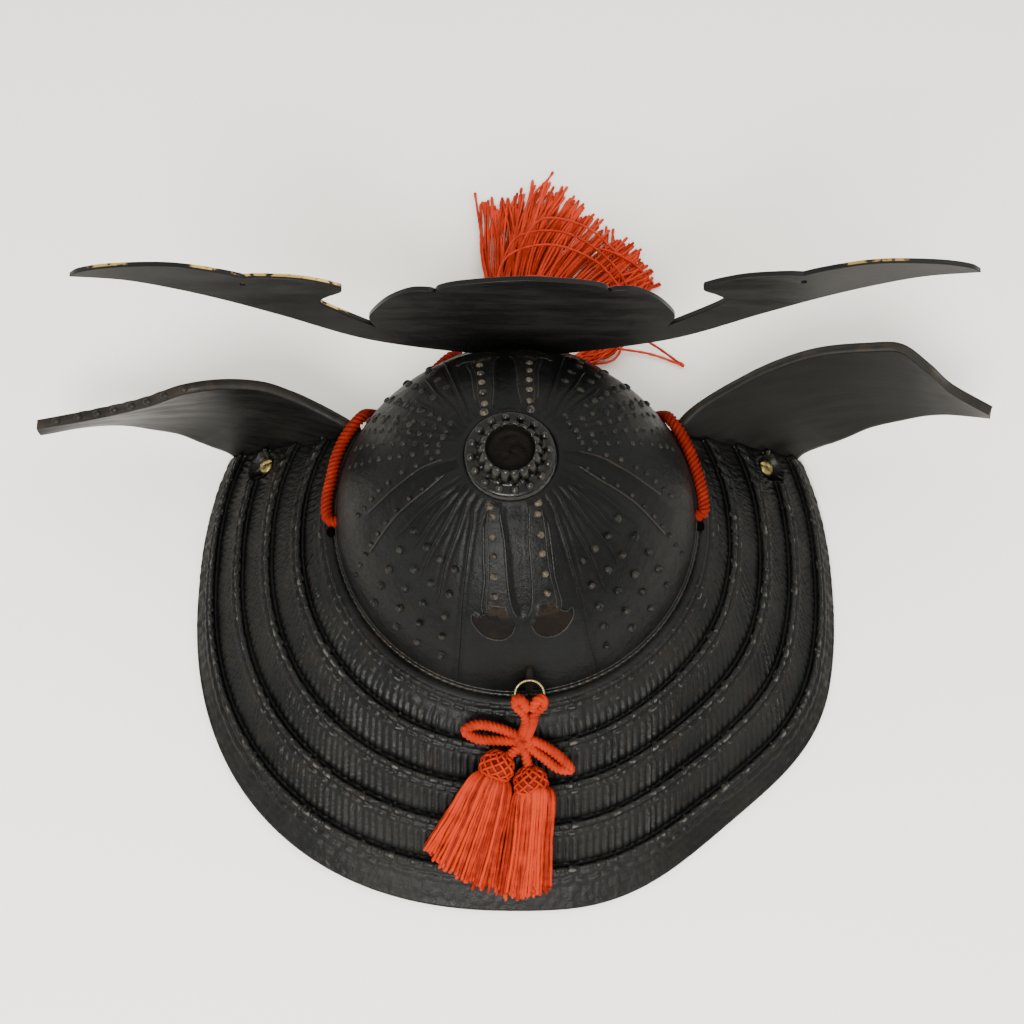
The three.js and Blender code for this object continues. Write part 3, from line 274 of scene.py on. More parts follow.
class Look:
    """Node material: a principled shader, and short calls that add what drives it."""

    def __init__(self, name, **sockets):
        self.material = bpy.data.materials.new(name)
        self.material.use_nodes = True
        self.nodes = self.material.node_tree.nodes
        self.links = self.material.node_tree.links
        self.shader = self.nodes["Principled BSDF"]
        for socket, value in sockets.items():
            self.shader.inputs[socket.replace("_", " ")].default_value = value

    def node(self, kind, settings=(), **inputs):
        made = self.nodes.new(kind)
        for key, value in dict(settings).items():
            setattr(made, key, value)
        for key, value in inputs.items():
            socket = made.inputs[int(key[1:])] if key[0] == "i" and key[1:].isdigit() else made.inputs[key]
            if isinstance(value, bpy.types.NodeSocket):
                self.links.new(value, socket)
            else:
                socket.default_value = value
        return made

    def place(self, stretch=(1, 1, 1)):
        where = self.node("ShaderNodeTexCoord").outputs["Object"]
        return self.node("ShaderNodeMapping", i0=where, Scale=stretch).outputs[0]

    def noise(self, scale, detail=3.0, rough=0.55, stretch=(1, 1, 1)):
        made = self.node("ShaderNodeTexNoise", Vector=self.place(stretch), Scale=scale, Detail=detail,
                         Roughness=rough)
        return made.outputs["Fac"]

    def height(self):
        return self.node("ShaderNodeAttribute", {"attribute_name": "height"}).outputs["Fac"]

    def band(self, value, low, high, bottom=0.0, top=1.0):
        return self.node("ShaderNodeMapRange", {"interpolation_type": "SMOOTHSTEP"},
                         i0=value, i1=low, i2=high, i3=bottom, i4=top).outputs[0]

    def math(self, operation, a, b=0.0):
        return self.node("ShaderNodeMath", {"operation": operation}, i0=a, i1=b).outputs[0]

    def mix(self, share, a, b):
        made = self.node("ShaderNodeMix", {"data_type": "RGBA"}, i0=share)
        for socket, value in ((made.inputs[6], a), (made.inputs[7], b)):
            if isinstance(value, bpy.types.NodeSocket):
                self.links.new(value, socket)
            else:
                socket.default_value = (*value, 1)
        return made.outputs[2]

    def drive(self, socket, value):
        self.links.new(value, self.shader.inputs[socket])

    def bump(self, value, strength, distance):
        made = self.node("ShaderNodeBump", Strength=strength, Distance=distance, Height=value)
        if self.shader.inputs["Normal"].is_linked:
            before = self.shader.inputs["Normal"].links[0].from_socket
            self.links.new(before, made.inputs["Normal"])
        self.links.new(made.outputs[0], self.shader.inputs["Normal"])


def iron_look(name, dark, light, rust, rough=(0.34, 0.52), grain=1.0, wear_and_highlight=(0.05, 0.048, 0.043), glint=0.22):
    """Black cast iron: painted shade darkens the hollows, brown in patches, and where it stands out a lighter colour
    paints both wear and highlights.
    """
    look = Look(name, Specular_IOR_Level=glint)
    patch = look.noise(38, 4)
    fine = look.noise(420, 4)
    base = look.mix(look.band(patch, 0.38, 0.66), dark, light)
    brown = look.math("MULTIPLY", look.band(look.noise(120, 5), 0.5, 0.68), 0.5)
    base = look.mix(brown, base, rust)
    # Painted shade: where the height is low, in hollows and grooves, the colour is darkened towards black.
    base = look.mix(look.band(look.height(), -0.35, 0.12, 0.85, 0.0), base, (0.0012, 0.0012, 0.0012))
    # Where the height is high, in patches, a lighter colour paints both wear and a painted highlight.
    rubbed_and_glinting = look.band(look.noise(500, 3), 0.4, 0.6)
    proud_wear_and_highlight = look.math("MULTIPLY", look.band(look.height(), 0.42, 0.8), rubbed_and_glinting)
    look.drive("Base Color", look.mix(proud_wear_and_highlight, base, wear_and_highlight))
    sheen = look.math("ADD", patch, look.math("MULTIPLY", fine, 0.35))
    look.drive("Roughness", look.band(sheen, 0.5, 0.86, *rough))
    look.bump(look.noise(1500, 3), 0.25 * grain, 0.0003)
    look.bump(look.noise(260, 5), 0.4 * grain, 0.0007)
    return look.material


def brushed_look(name, dark, light, streak, stretch, glint):
    """Black satin lacquer with fine streaks."""
    look = Look(name, Specular_IOR_Level=glint)
    lines = look.noise(streak, 5, 0.6, stretch)
    patch = look.noise(30, 3)
    look.drive("Base Color", look.mix(look.band(lines, 0.35, 0.7), dark, light))
    look.drive("Roughness", look.band(look.math("ADD", lines, patch), 0.75, 1.3, 0.32, 0.5))
    look.bump(lines, 0.18, 0.0004)
    look.bump(look.noise(1200, 2), 0.1, 0.0003)
    return look.material


def brass_look(name, bright, dull, rough=0.36):
    look = Look(name, Metallic=1.0, Roughness=rough)
    patch = look.noise(900, 5)
    look.drive("Base Color", look.mix(look.band(patch, 0.4, 0.66), bright, dull))
    look.drive("Roughness", look.band(patch, 0.35, 0.7, rough, rough + 0.25))
    look.bump(look.noise(2400, 3), 0.15, 0.0002)
    return look.material


def edge_look(name, patches):
    """Plate's edge: black lacquer with gilt on its front side between the given places along X, in metres; the gilt is
    real, and keeping it to these places paints where the edge glints.
    """
    look = Look(name, Roughness=0.34, Specular_IOR_Level=0.13)
    split = look.node("ShaderNodeSeparateXYZ", Vector=look.node("ShaderNodeTexCoord").outputs["Object"])
    across = split.outputs["X"]
    rubbed_and_glinting = 0.0
    for low, high, strength in patches:
        inside = look.math("MULTIPLY", look.band(across, low - 0.001, low + 0.001),
                           look.band(across, high - 0.001, high + 0.001, 1.0, 0.0))
        rubbed_and_glinting = look.math("ADD", look.math("MULTIPLY", inside, strength), rubbed_and_glinting)
    front = look.band(split.outputs["Y"], EDGE_GILT_FROM, EDGE_GILT_FROM + 0.0004, 1.0, 0.0)
    patchy = look.band(look.noise(330, 4), 0.4, 0.52)
    rubbed_and_glinting = look.math("MULTIPLY", look.math("MULTIPLY", rubbed_and_glinting, front), patchy)
    look.drive("Base Color", look.mix(rubbed_and_glinting, (0.0035, 0.0035, 0.0034), (0.50, 0.32, 0.085)))
    look.drive("Metallic", rubbed_and_glinting)
    look.bump(look.noise(900, 3), 0.15, 0.0003)
    return look.material


def silk_look(name, bright, deep):
    look = Look(name, Roughness=0.6, Specular_IOR_Level=0.06)
    patch = look.math("MULTIPLY", look.noise(220, 3), 0.6)
    shade = look.math("ADD", patch, look.math("MULTIPLY", look.height(), 0.5))
    look.drive("Base Color", look.mix(look.band(shade, 0.25, 0.75), deep, bright))
    look.bump(look.noise(3200, 3), 0.3, 0.0002)
    return look.material


# The last colour of each iron look paints both wear and highlights on raised parts.
IRON = iron_look("black_iron", (0.0022, 0.0023, 0.0020), (0.0052, 0.0053, 0.0047), (0.0080, 0.0060, 0.0040),
                 (0.34, 0.52), 1.3, (0.050, 0.047, 0.040), 0.11)
BOWL_IRON = iron_look("bowl_iron", (0.0015, 0.0017, 0.0017), (0.0036, 0.0040, 0.0040), (0.0045, 0.0036, 0.0025),
                      (0.34, 0.50), 1.5, (0.015, 0.0142, 0.0115), 0.08)
STRIP_IRON = iron_look("strip_iron", (0.0035, 0.0034, 0.0030), (0.0080, 0.0076, 0.0064), (0.017, 0.012, 0.0075),
                       (0.28, 0.44), 1.2, (0.045, 0.036, 0.023), 0.16)
RUSTY = iron_look("rusty_iron", (0.0017, 0.0014, 0.0011), (0.0038, 0.0028, 0.0019), (0.0075, 0.0047, 0.0028),
                  (0.5, 0.7), 2.4, (0.009, 0.0062, 0.004), 0.05)
CROWN_IRON = iron_look("crown_iron", (0.0016, 0.0015, 0.0013), (0.0042, 0.0038, 0.0031), (0.008, 0.0058, 0.0034),
                       (0.15, 0.30), 0.9, (0.012, 0.0105, 0.0078), 0.2)
WING_BLACK = brushed_look("wing_black", (0.0018, 0.0018, 0.0016), (0.0046, 0.0045, 0.0040), 90,
                          (0.35, 1, 3.2), 0.075)
WING_EDGE = iron_look("wing_edge", (0.0050, 0.0044, 0.0036), (0.011, 0.0094, 0.0072), (0.024, 0.016, 0.009),
                      (0.4, 0.6), 1.2, (0.03, 0.024, 0.016), 0.12)
CREST_BLACK = brushed_look("crest_black", (0.0050, 0.0050, 0.0047), (0.0125, 0.0122, 0.0114), 70,
                           (0.5, 1, 2.6), 0.24)
GILT = brass_look("gilt", (0.50, 0.33, 0.10), (0.34, 0.21, 0.06), 0.3)
# Painted highlight: the places along X where the edge's gilt shows are where it glints, each with how strongly it
# shows.
CREST_EDGE = edge_look("crest_edge", [(0.120, 0.132, 0.8), (0.093, 0.100, 1.0), (0.056, 0.088, 1.0),
                                      (-0.118, -0.100, 0.5)])
BRASS = brass_look("aged_brass", (0.22, 0.175, 0.070), (0.09, 0.070, 0.026), 0.36)
WIRE = brass_look("brass_wire", (0.20, 0.165, 0.072), (0.12, 0.10, 0.045), 0.4)
SILK = silk_look("orange_silk", (0.30, 0.0205, 0.0042), (0.105, 0.0048, 0.0009))
# Painted light: a lighter copy of the orange silk for the tassel on the ground, which the crest and bowl shade from the
# key light.
FRONT_SILK_PAINTED_LIGHTER = silk_look("front_silk_painted_light", (0.46, 0.036, 0.013), (0.21, 0.013, 0.0035))
HOLE_SHADE = Look("painted_hole_shade", Base_Color=(0.001, 0.001, 0.001, 1), Roughness=0.9, Specular_IOR_Level=0.0).material


# Camera, floor and light

def make_camera():
    data = bpy.data.cameras.new("camera")
    camera = bpy.data.objects.new("camera", data)
    bpy.context.scene.collection.objects.link(camera)
    data.angle = math.radians(CAMERA_FIELD)
    data.clip_start, data.clip_end = 0.01, 20
    camera.location = CAMERA_EYE
    camera.rotation_mode = "QUATERNION"
    look = (CAMERA_AIM - CAMERA_EYE).to_track_quat("-Z", "Y")
    camera.rotation_quaternion = look @ Quaternion((0, 0, 1), math.radians(CAMERA_ROLL))
    bpy.context.scene.camera = camera


def area_light(name, place, aim, size, power, colour):
    data = bpy.data.lights.new(name, "AREA")
    data.shape, data.size, data.energy, data.color = "DISK", size, power, colour
    light = bpy.data.objects.new(name, data)
    light.location = place
    light.rotation_mode = "QUATERNION"
    light.rotation_quaternion = (Vector(aim) - Vector(place)).to_track_quat("-Z", "Y")
    bpy.context.scene.collection.objects.link(light)


def make_stage():
    look = Look("pale_floor", Roughness=0.7, Specular_IOR_Level=0.2)
    along = look.node("ShaderNodeSeparateXYZ", Vector=look.place()).outputs["Y"]
    # Painted light: the floor's colour is graded lighter towards the camera, along Y.
    tone = look.mix(look.band(along, -0.4, 0.35), (0.80, 0.768, 0.715), (0.93, 0.895, 0.84))
    tone = look.mix(look.math("MULTIPLY", look.noise(3.5, 4), 0.12), tone, (0.6, 0.6, 0.58))
    look.drive("Base Color", tone)
    look.bump(look.noise(240, 3), 0.06, 0.0005)
    mesh = bpy.data.meshes.new("floor")
    corners = [(FLOOR_HALF * x, FLOOR_HALF * y, 0) for x, y in ((-1, -1), (1, -1), (1, 1), (-1, 1))]
    mesh.from_pydata(corners, [], [(0, 1, 2, 3)])
    mesh.materials.append(look.material)
    floor = bpy.data.objects.new("floor", mesh)
    bpy.context.scene.collection.objects.link(floor)
    world = bpy.data.worlds.new("studio")
    world.use_nodes = True
    nodes, links = world.node_tree.nodes, world.node_tree.links
    where = nodes.new("ShaderNodeTexCoord")
    split = nodes.new("ShaderNodeSeparateXYZ")
    links.new(where.outputs["Generated"], split.inputs[0])
    # The room is a little darker overhead than at the sides
    fall = nodes.new("ShaderNodeMapRange")
    links.new(split.outputs["Z"], fall.inputs[0])
    for socket, value in ((1, 0.0), (2, 1.0), (3, 2.3), (4, 1.4)):
        fall.inputs[socket].default_value = value
    links.new(fall.outputs[0], nodes["Background"].inputs["Strength"])
    nodes["Background"].inputs["Color"].default_value = (1.0, 0.99, 0.955, 1)
    bpy.context.scene.world = world
    area_light("key", (0.15, 0.78, 0.95), (0, 0.0, 0.03), 0.6, 33, (1, 0.985, 0.95))
    area_light("fill", (-0.8, -0.5, 1.2), (0, -0.02, 0.03), 1.2, 6, (0.97, 0.985, 1))


make_camera()
make_stage()


# Cords

LEFT_CHIN_ROUTE = [
    (50, 5, 37.8), (55.6, 4.4, 38.1), (61, 3.4, 38.5), (62, -3, 38.5), (61.1, -10, 38.5), (59.9, -17, 38.8),
    (57.8, -23.4, 39.4), (54.6, -28.8, 40.2), (51.6, -33.4, 38.4), (50, -36.4, 33), (48.4, -39.2, 26),
    (46.4, -43, 17.5), (43, -49, 9.5), (37, -58, 4), (29.5, -69, 2.4), (22.5, -74.6, 2.4), (16.2, -69.8, 3),
    (10.4, -66, 4.8), (4.95, -69.15, 5.6),
]
RIGHT_CHIN_ROUTE = [
    (-50, 2.2, 37.8), (-55.6, 1.7, 38.1), (-60.8, 0.8, 38.4), (-61.3, -5, 38.4), (-60.4, -11, 38.4),
    (-58.8, -17, 38.6), (-56.8, -22.6, 39.2), (-54, -28.2, 40), (-51.2, -33.2, 38.4), (-49.6, -36.2, 33),
    (-48.2, -39, 26), (-46.2, -42.8, 17.5), (-42.5, -48.8, 9.5), (-35.5, -56, 4), (-25, -61, 2.4),
    (-14, -61, 2.8), (-6, -61.8, 4.8), (-2.85, -67.05, 5.6),
]
CHIN_STEP = 0.26


def chin_cord(name, route):
    path = spaced_curve(route, CHIN_STEP, rough=200)
    piece = Shell().cord(path, CHIN_CORD * CHIN_REACH, 24, 3, 0.42, 4.8).piece(name + "_twist", SILK, name, [name])
    knot = Shell().add(*ball(route[0], (3.4, 3.4, 3.4)), value=0.5).piece(name + "_stopper", SILK, name)


# Bowl

CROWN_CLIMB = math.acos((CROWN_SEAT / BOWL_HALF_WIDTH) ** (1 / BOWL_TAPER)) / (math.pi / 2)
# Length of a line from the bowl's foot to its top
ARC = 88.0
BOWL_COLUMNS, BOWL_ROWS, HOLLOW_ROWS = 620, 108, 6
# Trims are spaced on a flat map, degrees across and climb times this upwards
TRIM_MAP = 60


def bowl_plan(angle, offset=0.0):
    depth = np.where(np.sin(angle) > 0, BOWL_BACK, BOWL_FRONT)
    return (BOWL_HALF_WIDTH + offset) * np.cos(angle), (depth + offset) * np.sin(angle)


def bowl_point(angle, climb, offset=0.0):
    x, y = bowl_plan(angle, offset)
    inward = np.cos(climb * np.pi / 2) ** BOWL_TAPER
    upward = np.sin(climb * np.pi / 2) ** BOWL_TAPER
    return np.stack(np.broadcast_arrays(
        x * inward + CROWN_SHIFT * upward, y * inward, GUARD_HEIGHT + (BOWL_RISE + offset) * upward), -1)


def bowl_frame(turn, climb):
    """Point on the bowl's skin, turned from the pattern's middle, and the direction out of it."""
    angle = np.radians(90 + PATTERN_TURN + turn)
    point = bowl_point(angle, climb)
    along = bowl_point(angle + 0.01, climb) - point
    up = bowl_point(angle, climb + 0.01) - point
    return point, unit(np.cross(along, up))


# The pattern's lines as (degrees from the centre line, climb)
CHANNEL_EDGE = [(14, 0.76), (8.5, 0.678), (7, 0.615), (5.3, 0.517), (4, 0.47), (2, 0.437)]
STRIP_EDGE = [(25, 0.71), (20.5, 0.635), (17, 0.548), (16.5, 0.465), (15.5, 0.44)]
BEADED_LINE = [(25, 0.755), (21.6, 0.7), (17.5, 0.635), (15.2, 0.56), (14.6, 0.48), (13.8, 0.446)]
RIBS = [
    [(65, 0.75), (66.5, 0.68), (65.7, 0.605), (64.5, 0.54), (64, 0.48)],
    [(60, 0.735), (58.7, 0.68), (57, 0.62), (55.5, 0.57), (55, 0.51)],
    [(55, 0.75), (51.5, 0.695), (49, 0.638), (48, 0.585), (47, 0.525), (45, 0.46)],
    [(48, 0.753), (43, 0.70), (40, 0.643), (38.5, 0.58), (37.2, 0.528), (35.2, 0.465), (34.5, 0.41)],
    [(38, 0.743), (33, 0.69), (30, 0.628), (27.7, 0.568), (25.2, 0.473), (23, 0.35), (22.2, 0.25),
     (22, 0.03)],
]
LOBE = [(3.0, 0.408), (5.2, 0.44), (7, 0.478), (13.2, 0.478), (14.6, 0.446), (17, 0.428), (20, 0.43), (19.6, 0.408),
        (17.6, 0.385), (14.6, 0.364), (11, 0.353), (7, 0.358), (4.4, 0.378)]
SIDE_LINES = [
    [(92.5, 0.73), (90, 0.648), (86.5, 0.583), (84.5, 0.53), (82.5, 0.47), (81, 0.4)],
    [(79, 0.73), (75, 0.66), (73.5, 0.59), (72, 0.51), (69.5, 0.42), (68, 0.34)],
]
SIDE_RIVETS = [
    [(95, 0.69), (92.5, 0.63), (91.2, 0.575), (89, 0.515), (87.5, 0.47), (85.7, 0.428), (84, 0.383),
     (83, 0.343)],
    [(79, 0.70), (77.3, 0.637), (76, 0.585), (74.8, 0.523), (73, 0.465), (71.5, 0.415), (70, 0.367),
     (69, 0.318), (68, 0.26), (67.5, 0.2)],
]
RIVET_COLUMNS = [27.5, 36.5, 45.5, 55.5]
RIVET_ROWS = [0.21, 0.303, 0.385, 0.467, 0.55]
FRONT_COLUMNS = [104, 111, 118, 125, 132]
STRIP_RIVETS = [0.505, 0.565, 0.625, 0.68, 0.74, 0.785]
PATTERN_TOP = CROWN_CLIMB - 0.02
# Beaded rows round the base: climb and radius
BASE_ROWS = [(0.012, 0.75), (0.042, 0.4)]


def edge_turn(line, climb):
    """Degrees from the centre line at which a line of the pattern stands at a climb."""
    turn, rise = np.array(line).T
    return np.interp(climb, rise[::-1], turn[::-1])


def outline_distance(points, outline):
    """Distance from a closed outline, negative inside it."""
    corners = np.asarray(outline, float)
    best, inside = np.full(points.shape[:-1], np.inf), np.zeros(points.shape[:-1], bool)
    for a, b in zip(corners, np.roll(corners, -1, axis=0)):
        way = b - a
        share = np.clip(((points - a) @ way) / (way @ way), 0, 1)
        best = np.minimum(best, np.linalg.norm(points - a - share[..., None] * way, axis=-1))
        crosses = (a[1] > points[..., 1]) != (b[1] > points[..., 1])
        rise = np.where(way[1] == 0, 1, way[1])
        inside ^= crosses & (points[..., 0] < a[0] + (points[..., 1] - a[1]) * way[0] / rise)
    return np.where(inside, -best, best)


def lobe_distance(around, climb):
    """Distance in millimetres from the lobed plate's outline."""
    scale = BOWL_BACK * math.cos(0.4 * math.pi / 2) ** BOWL_TAPER * math.pi / 180
    flat = np.stack(np.broadcast_arrays(around * scale, climb * ARC), -1)
    smooth = curve_through([(turn * scale, rise * ARC) for turn, rise in LOBE[6:] + LOBE[:1]], 60)
    top = [(turn * scale, rise * ARC) for turn, rise in LOBE[1:6]]
    return outline_distance(flat, np.vstack([smooth, top]))


def bowl_relief(turn, climb):
    """Height of the cast pattern's broad forms over the bowl's skin, in millimetres."""
    turn = (turn + 180) % 360 - 180
    around = np.minimum(np.abs(turn), 180 - np.abs(turn))
    radius = BOWL_BACK * np.cos(climb * np.pi / 2) ** BOWL_TAPER
    arc = np.radians(1) * radius
    channel = arc * (around - edge_turn(CHANNEL_EDGE, climb))
    strip = arc * (around - edge_turn(STRIP_EDGE, climb))
    upper = smooth_step(0.43, 0.45, climb)
    relief = upper * 0.5 * smooth_step(-0.25, 0.25, channel) * (1 - smooth_step(-0.25, 0.25, strip))
    relief -= upper * 0.55 * (1 - smooth_step(-2.2, 0, channel))
    near = np.abs(around - 12) < 14
    lobe = np.where(near & (np.abs(climb - 0.41) < 0.09), lobe_distance(around, climb), 9.0)
    relief += 0.5 * (1 - smooth_step(-0.25, 0.25, lobe)) * (1 - smooth_step(0.46, 0.474, climb))
    for rib in RIBS:
        off = arc * (around - edge_turn(rib, climb))
        foot = rib[-1][1]
        grooves = ridge(off - 1.2, 0.6) + ridge(off + 1.2, 0.6)
        relief -= 0.22 * grooves * smooth_step(foot, foot + 0.08, climb)
    inner, outer = (edge_turn(line, climb) for line in reversed(SIDE_LINES))
    side = smooth_step(0.3, 0.42, climb)
    hollow = smooth_step(inner, inner + 3, np.abs(turn)) * (1 - smooth_step(outer - 3, outer, np.abs(turn)))
    relief -= side * 0.45 * hollow
    relief += 0.4 * (1 - smooth_step(0.02, 0.03, climb))
    return relief * (1 - smooth_step(CROWN_CLIMB - 0.03, CROWN_CLIMB - 0.012, climb))


def on_bowl(turn, climb, lift=0.0):
    """Points over the bowl's relief, and the directions out of it."""
    point, out = bowl_frame(turn, climb)
    return point + out * (bowl_relief(turn, climb) + lift)[..., None], out


def quarters():
    """The bowl's four quarters: the middle that the pattern turns from, and the way that it turns."""
    return [(centre, side) for centre in (0, 180) for side in (-1, 1)]


def make_bowl():
    angle = full_turn(BOWL_COLUMNS)[:, None]
    turn = np.degrees(angle) - 90 - PATTERN_TURN
    climb = np.linspace(0, CROWN_CLIMB, BOWL_ROWS)[None]
    relief = bowl_relief(turn, climb)
    skin = bowl_point(angle, climb, relief)
    foot = bowl_point(angle, np.zeros((1, 1)))
    hollow = bowl_point(angle, np.linspace(CROWN_CLIMB, 0, HOLLOW_ROWS)[None], -BOWL_WALL)
    sole = hollow[:, -1:].copy()
    for edge in (foot, sole):
        edge[..., 2] -= BOWL_SKIRT
    points, quads = grid(np.concatenate([foot, skin, hollow, sole], 1), wrap_u=True, wrap_v=True)
    value = np.pad(relief, ((0, 0), (1, HOLLOW_ROWS + 1)))
    turned = np.abs((turn + 180) % 360 - 180)
    rusty = (lobe_distance(turned, climb) < 0.1) & (climb < 0.472) & (turned < 90)
    marked = np.pad(rusty.astype(int), ((0, 0), (1, HOLLOW_ROWS + 1)))
    Shell().add(points, quads, value.ravel()).piece(
        "bowl_shell", [BOWL_IRON, RUSTY], "bowl", ["bowl"], shades=marked.ravel()[quads].min(1))


def trim(shell, line, centre, side, radius, bead=0.0, taper=6.0):
    """Rib or beaded line laid on the bowl."""
    on_map = [(side * turn, climb * TRIM_MAP) for turn, climb in line]
    rough = curve_through(on_map, 60)
    points, _ = on_bowl(centre + rough[:, 0], rough[:, 1] / TRIM_MAP)
    flat = curve_through(on_map, max(12, int(length_of(points) / 0.42)))
    climb = np.minimum(flat[:, 1] / TRIM_MAP, PATTERN_TOP)
    path, _ = on_bowl(centre + flat[:, 0], climb, radius * 0.15)
    along = run_along(path)
    size = radius * np.minimum(1, 0.25 + np.minimum(along, along[-1] - along) / taper)
    if bead:
        size = size * (0.6 + 0.4 * np.abs(np.sin(np.pi * along / bead)) ** 0.6)
    shell.cord(path, size, 6, value=0.3)


def make_trims():
    ribs, beads = Shell(), Shell()
    for centre, side in quarters():
        for rib in RIBS if centre == 0 else RIBS[2:]:
            trim(ribs, rib, centre, side, 0.36)
        trim(beads, CHANNEL_EDGE, centre, side, 0.36, 1.5, 1.0)
        trim(beads, STRIP_EDGE, centre, side, 0.34, 1.5, 1.0)
        trim(beads, BEADED_LINE, centre, side, 0.26, 1.3, 1.0)
        trim(beads, LOBE[4:] + LOBE[:1], centre, side, 0.3, 1.3, 0.5)
    for side in (-1, 1):
        for line in SIDE_LINES:
            trim(beads, line, 0, side, 0.42, 2.1, 2.0)
        for climb, radius in BASE_ROWS:
            trim(beads, [(turn, climb) for turn in range(0, 181, 12)], 0, side, radius, 2.6, 1.0)
    ribs.piece("bowl_ribs", BOWL_IRON, "bowl")
    beads.piece("bowl_beading", STRIP_IRON, "bowl")


def make_rivets():
    plain, brown = Shell(), Shell()

    def put(shell, turn, climb, radius, height):
        point, out = on_bowl(np.array(turn), np.array(climb), -0.05)
        # The value 0.9 gives the rivets the iron look's lighter colour, painting both wear and highlights on them.
        shell.add(*boss_at(point, out, radius, height, peak=0.8), value=0.9)

    for centre, side in quarters():
        for column in RIVET_COLUMNS:
            for climb in RIVET_ROWS:
                wander = rng.normal(0, 0.3, 2)
                turn = column + 13 * (climb - 0.2) + wander[0]
                put(plain, centre + side * turn, climb + 0.005 * wander[1], 1.32 + 0.08 * rng.normal(),
                    (1.3 if centre == 0 else 0.75) + 0.12 * rng.normal())
        for climb in STRIP_RIVETS:
            radius = BOWL_BACK * math.cos(climb * math.pi / 2) ** BOWL_TAPER
            turn = math.degrees((6.7 + (0.78 - climb) * 4.4) / radius)
            put(brown, centre + side * turn, min(climb, PATTERN_TOP - 0.01), 1.2, 1.0)
    for side in (-1, 1):
        for row in SIDE_RIVETS:
            for turn, climb in row:
                put(plain, side * turn, climb, 0.85, 0.8)
        for column in FRONT_COLUMNS:
            for climb in np.arange(0.26, 0.76, 0.05):
                turn = column - 10 * (climb - 0.3) + rng.normal(0, 0.3)
                put(plain, side * turn, climb + rng.normal(0, 0.003), 0.95, 0.5)
    plain.piece("bowl_rivets", BOWL_IRON, "bowl")
    brown.piece("strip_rivets", STRIP_IRON, "bowl")


# Painted shade: flat black blobs stand for the shade inside the holes that the chin cords leave open beside them
CORD_HOLES = [(60.4, 7.4, 37.2), (-60.0, 4.9, 37.2)]


def make_cord_holes():
    shell = Shell()
    for spot in CORD_HOLES:
        shell.add(*ball(spot, (1.5, 1.7, 0.7)))
    shell.piece("cord_holes", HOLE_SHADE, "bowl")


# Crown fitting
CROWN_RINGS = [
    (13.4, -0.2), (13.4, 0.4), (13.0, 0.8), (12.3, 0.95), (11.2, 1.0), (10.2, 1.15), (9.9, 1.7),
    (9.6, 2.8), (9.1, 4.1), (8.5, 5.1), (7.9, 5.6), (7.4, 5.6), (7.1, 5.0), (6.9, 3.6), (6.5, 2.3),
    (5.6, 1.7), (3.2, 1.6), (1.0, 1.6), (0.3, 1.6),
]
CROWN_PETALS, CROWN_BEADS, CROWN_BEAD_AT, CROWN_COLUMNS = 18, 16, 11.5, 288
# Inside this radius the fitting is rusty
CROWN_RUST = 6.8


def make_crown():
    base = bowl_point(0.0, np.array(CROWN_CLIMB))[2] + GAP
    turn = full_turn(CROWN_COLUMNS)
    profile = curve_through(CROWN_RINGS, 76)
    reach, rise = profile[:, :1], profile[:, 1:]
    petal = smooth_step(1.2, 2.2, rise) * smooth_step(6.9, 7.4, reach)
    groove = 1 - np.abs(np.cos(CROWN_PETALS / 2 * turn))[None] ** 0.4
    uneven = 0.125 * np.sin(3.1 * turn + 1.3 * reach) * smooth_step(6.0, 4.5, reach)
    out = reach - 0.95 * petal * groove * smooth_step(7.4, 9.4, reach)
    height = rise - 0.85 * petal * groove + uneven
    rings = np.stack([CROWN_SHIFT + out * np.cos(turn), out * np.sin(turn), base + height], -1)
    # The petals' values paint highlights on their tops and shade in the grooves between them, through the iron look's
    # light and dark colours.
    shade = np.append((0.75 * petal * (1 - 2.2 * groove)).ravel(), [0, 0])
    shell = Shell().add(*capped(rings), value=shade)
    # The beads' value of 0.8 paints both wear and highlights on them.
    for angle in (np.arange(CROWN_BEADS) + 0.3) / CROWN_BEADS * 2 * math.pi:
        spot = np.array([CROWN_SHIFT + CROWN_BEAD_AT * math.cos(angle), CROWN_BEAD_AT * math.sin(angle), base + 0.9])
        shell.add(*boss_at(spot, [0, 0, 1], 1.35, 1.3, 14, 5), value=0.8)
    points = np.vstack(shell.points)[:, :2] - [CROWN_SHIFT, 0]
    middles = np.concatenate([np.linalg.norm(points[face].mean(1), axis=1) for face in shell.faces])
    shell.piece("crown_ring", [CROWN_IRON, RUSTY], "crown_fitting", ["crown_fitting"],
                shades=(middles < CROWN_RUST).astype(int))


# Neck guard
LAMES = [(0.05, 0.05, 1.0), (0.24, 0.235, 0.8), (0.47, 0.42, 0.6), (0.69, 0.6, 0.4), (0.89, 0.8, 0.2)]


def guard_rim(angle):
    power = 2 / GUARD_SQUARENESS
    off = np.abs(angle - math.radians(GUARD_FLAT_TURN)) / math.radians(GUARD_FLAT_SPREAD)
    flat = np.where(off < 1, GUARD_FLAT_DEPTH * (1 + np.cos(np.pi * np.minimum(off, 1))) / 2, 0)
    c, s = np.cos(angle), np.sin(angle)
    return ((GUARD_HALF_WIDTH - flat) * np.sign(c) * np.abs(c) ** power,
            GUARD_SET_BACK + (GUARD_HALF_LENGTH - flat) * np.sign(s) * np.abs(s) ** power)


def guard_plan(angle, out):
    inner = bowl_plan(angle, GAP)
    rim = guard_rim(angle)
    return tuple(a + (b - a) * out for a, b in zip(inner, rim))


def guard_front(out):
    """How far ahead of the bowl's middle the guard ends."""
    return GUARD_FRONT_AT_BOWL + (GUARD_FRONT_AT_RIM - GUARD_FRONT_AT_BOWL) * out


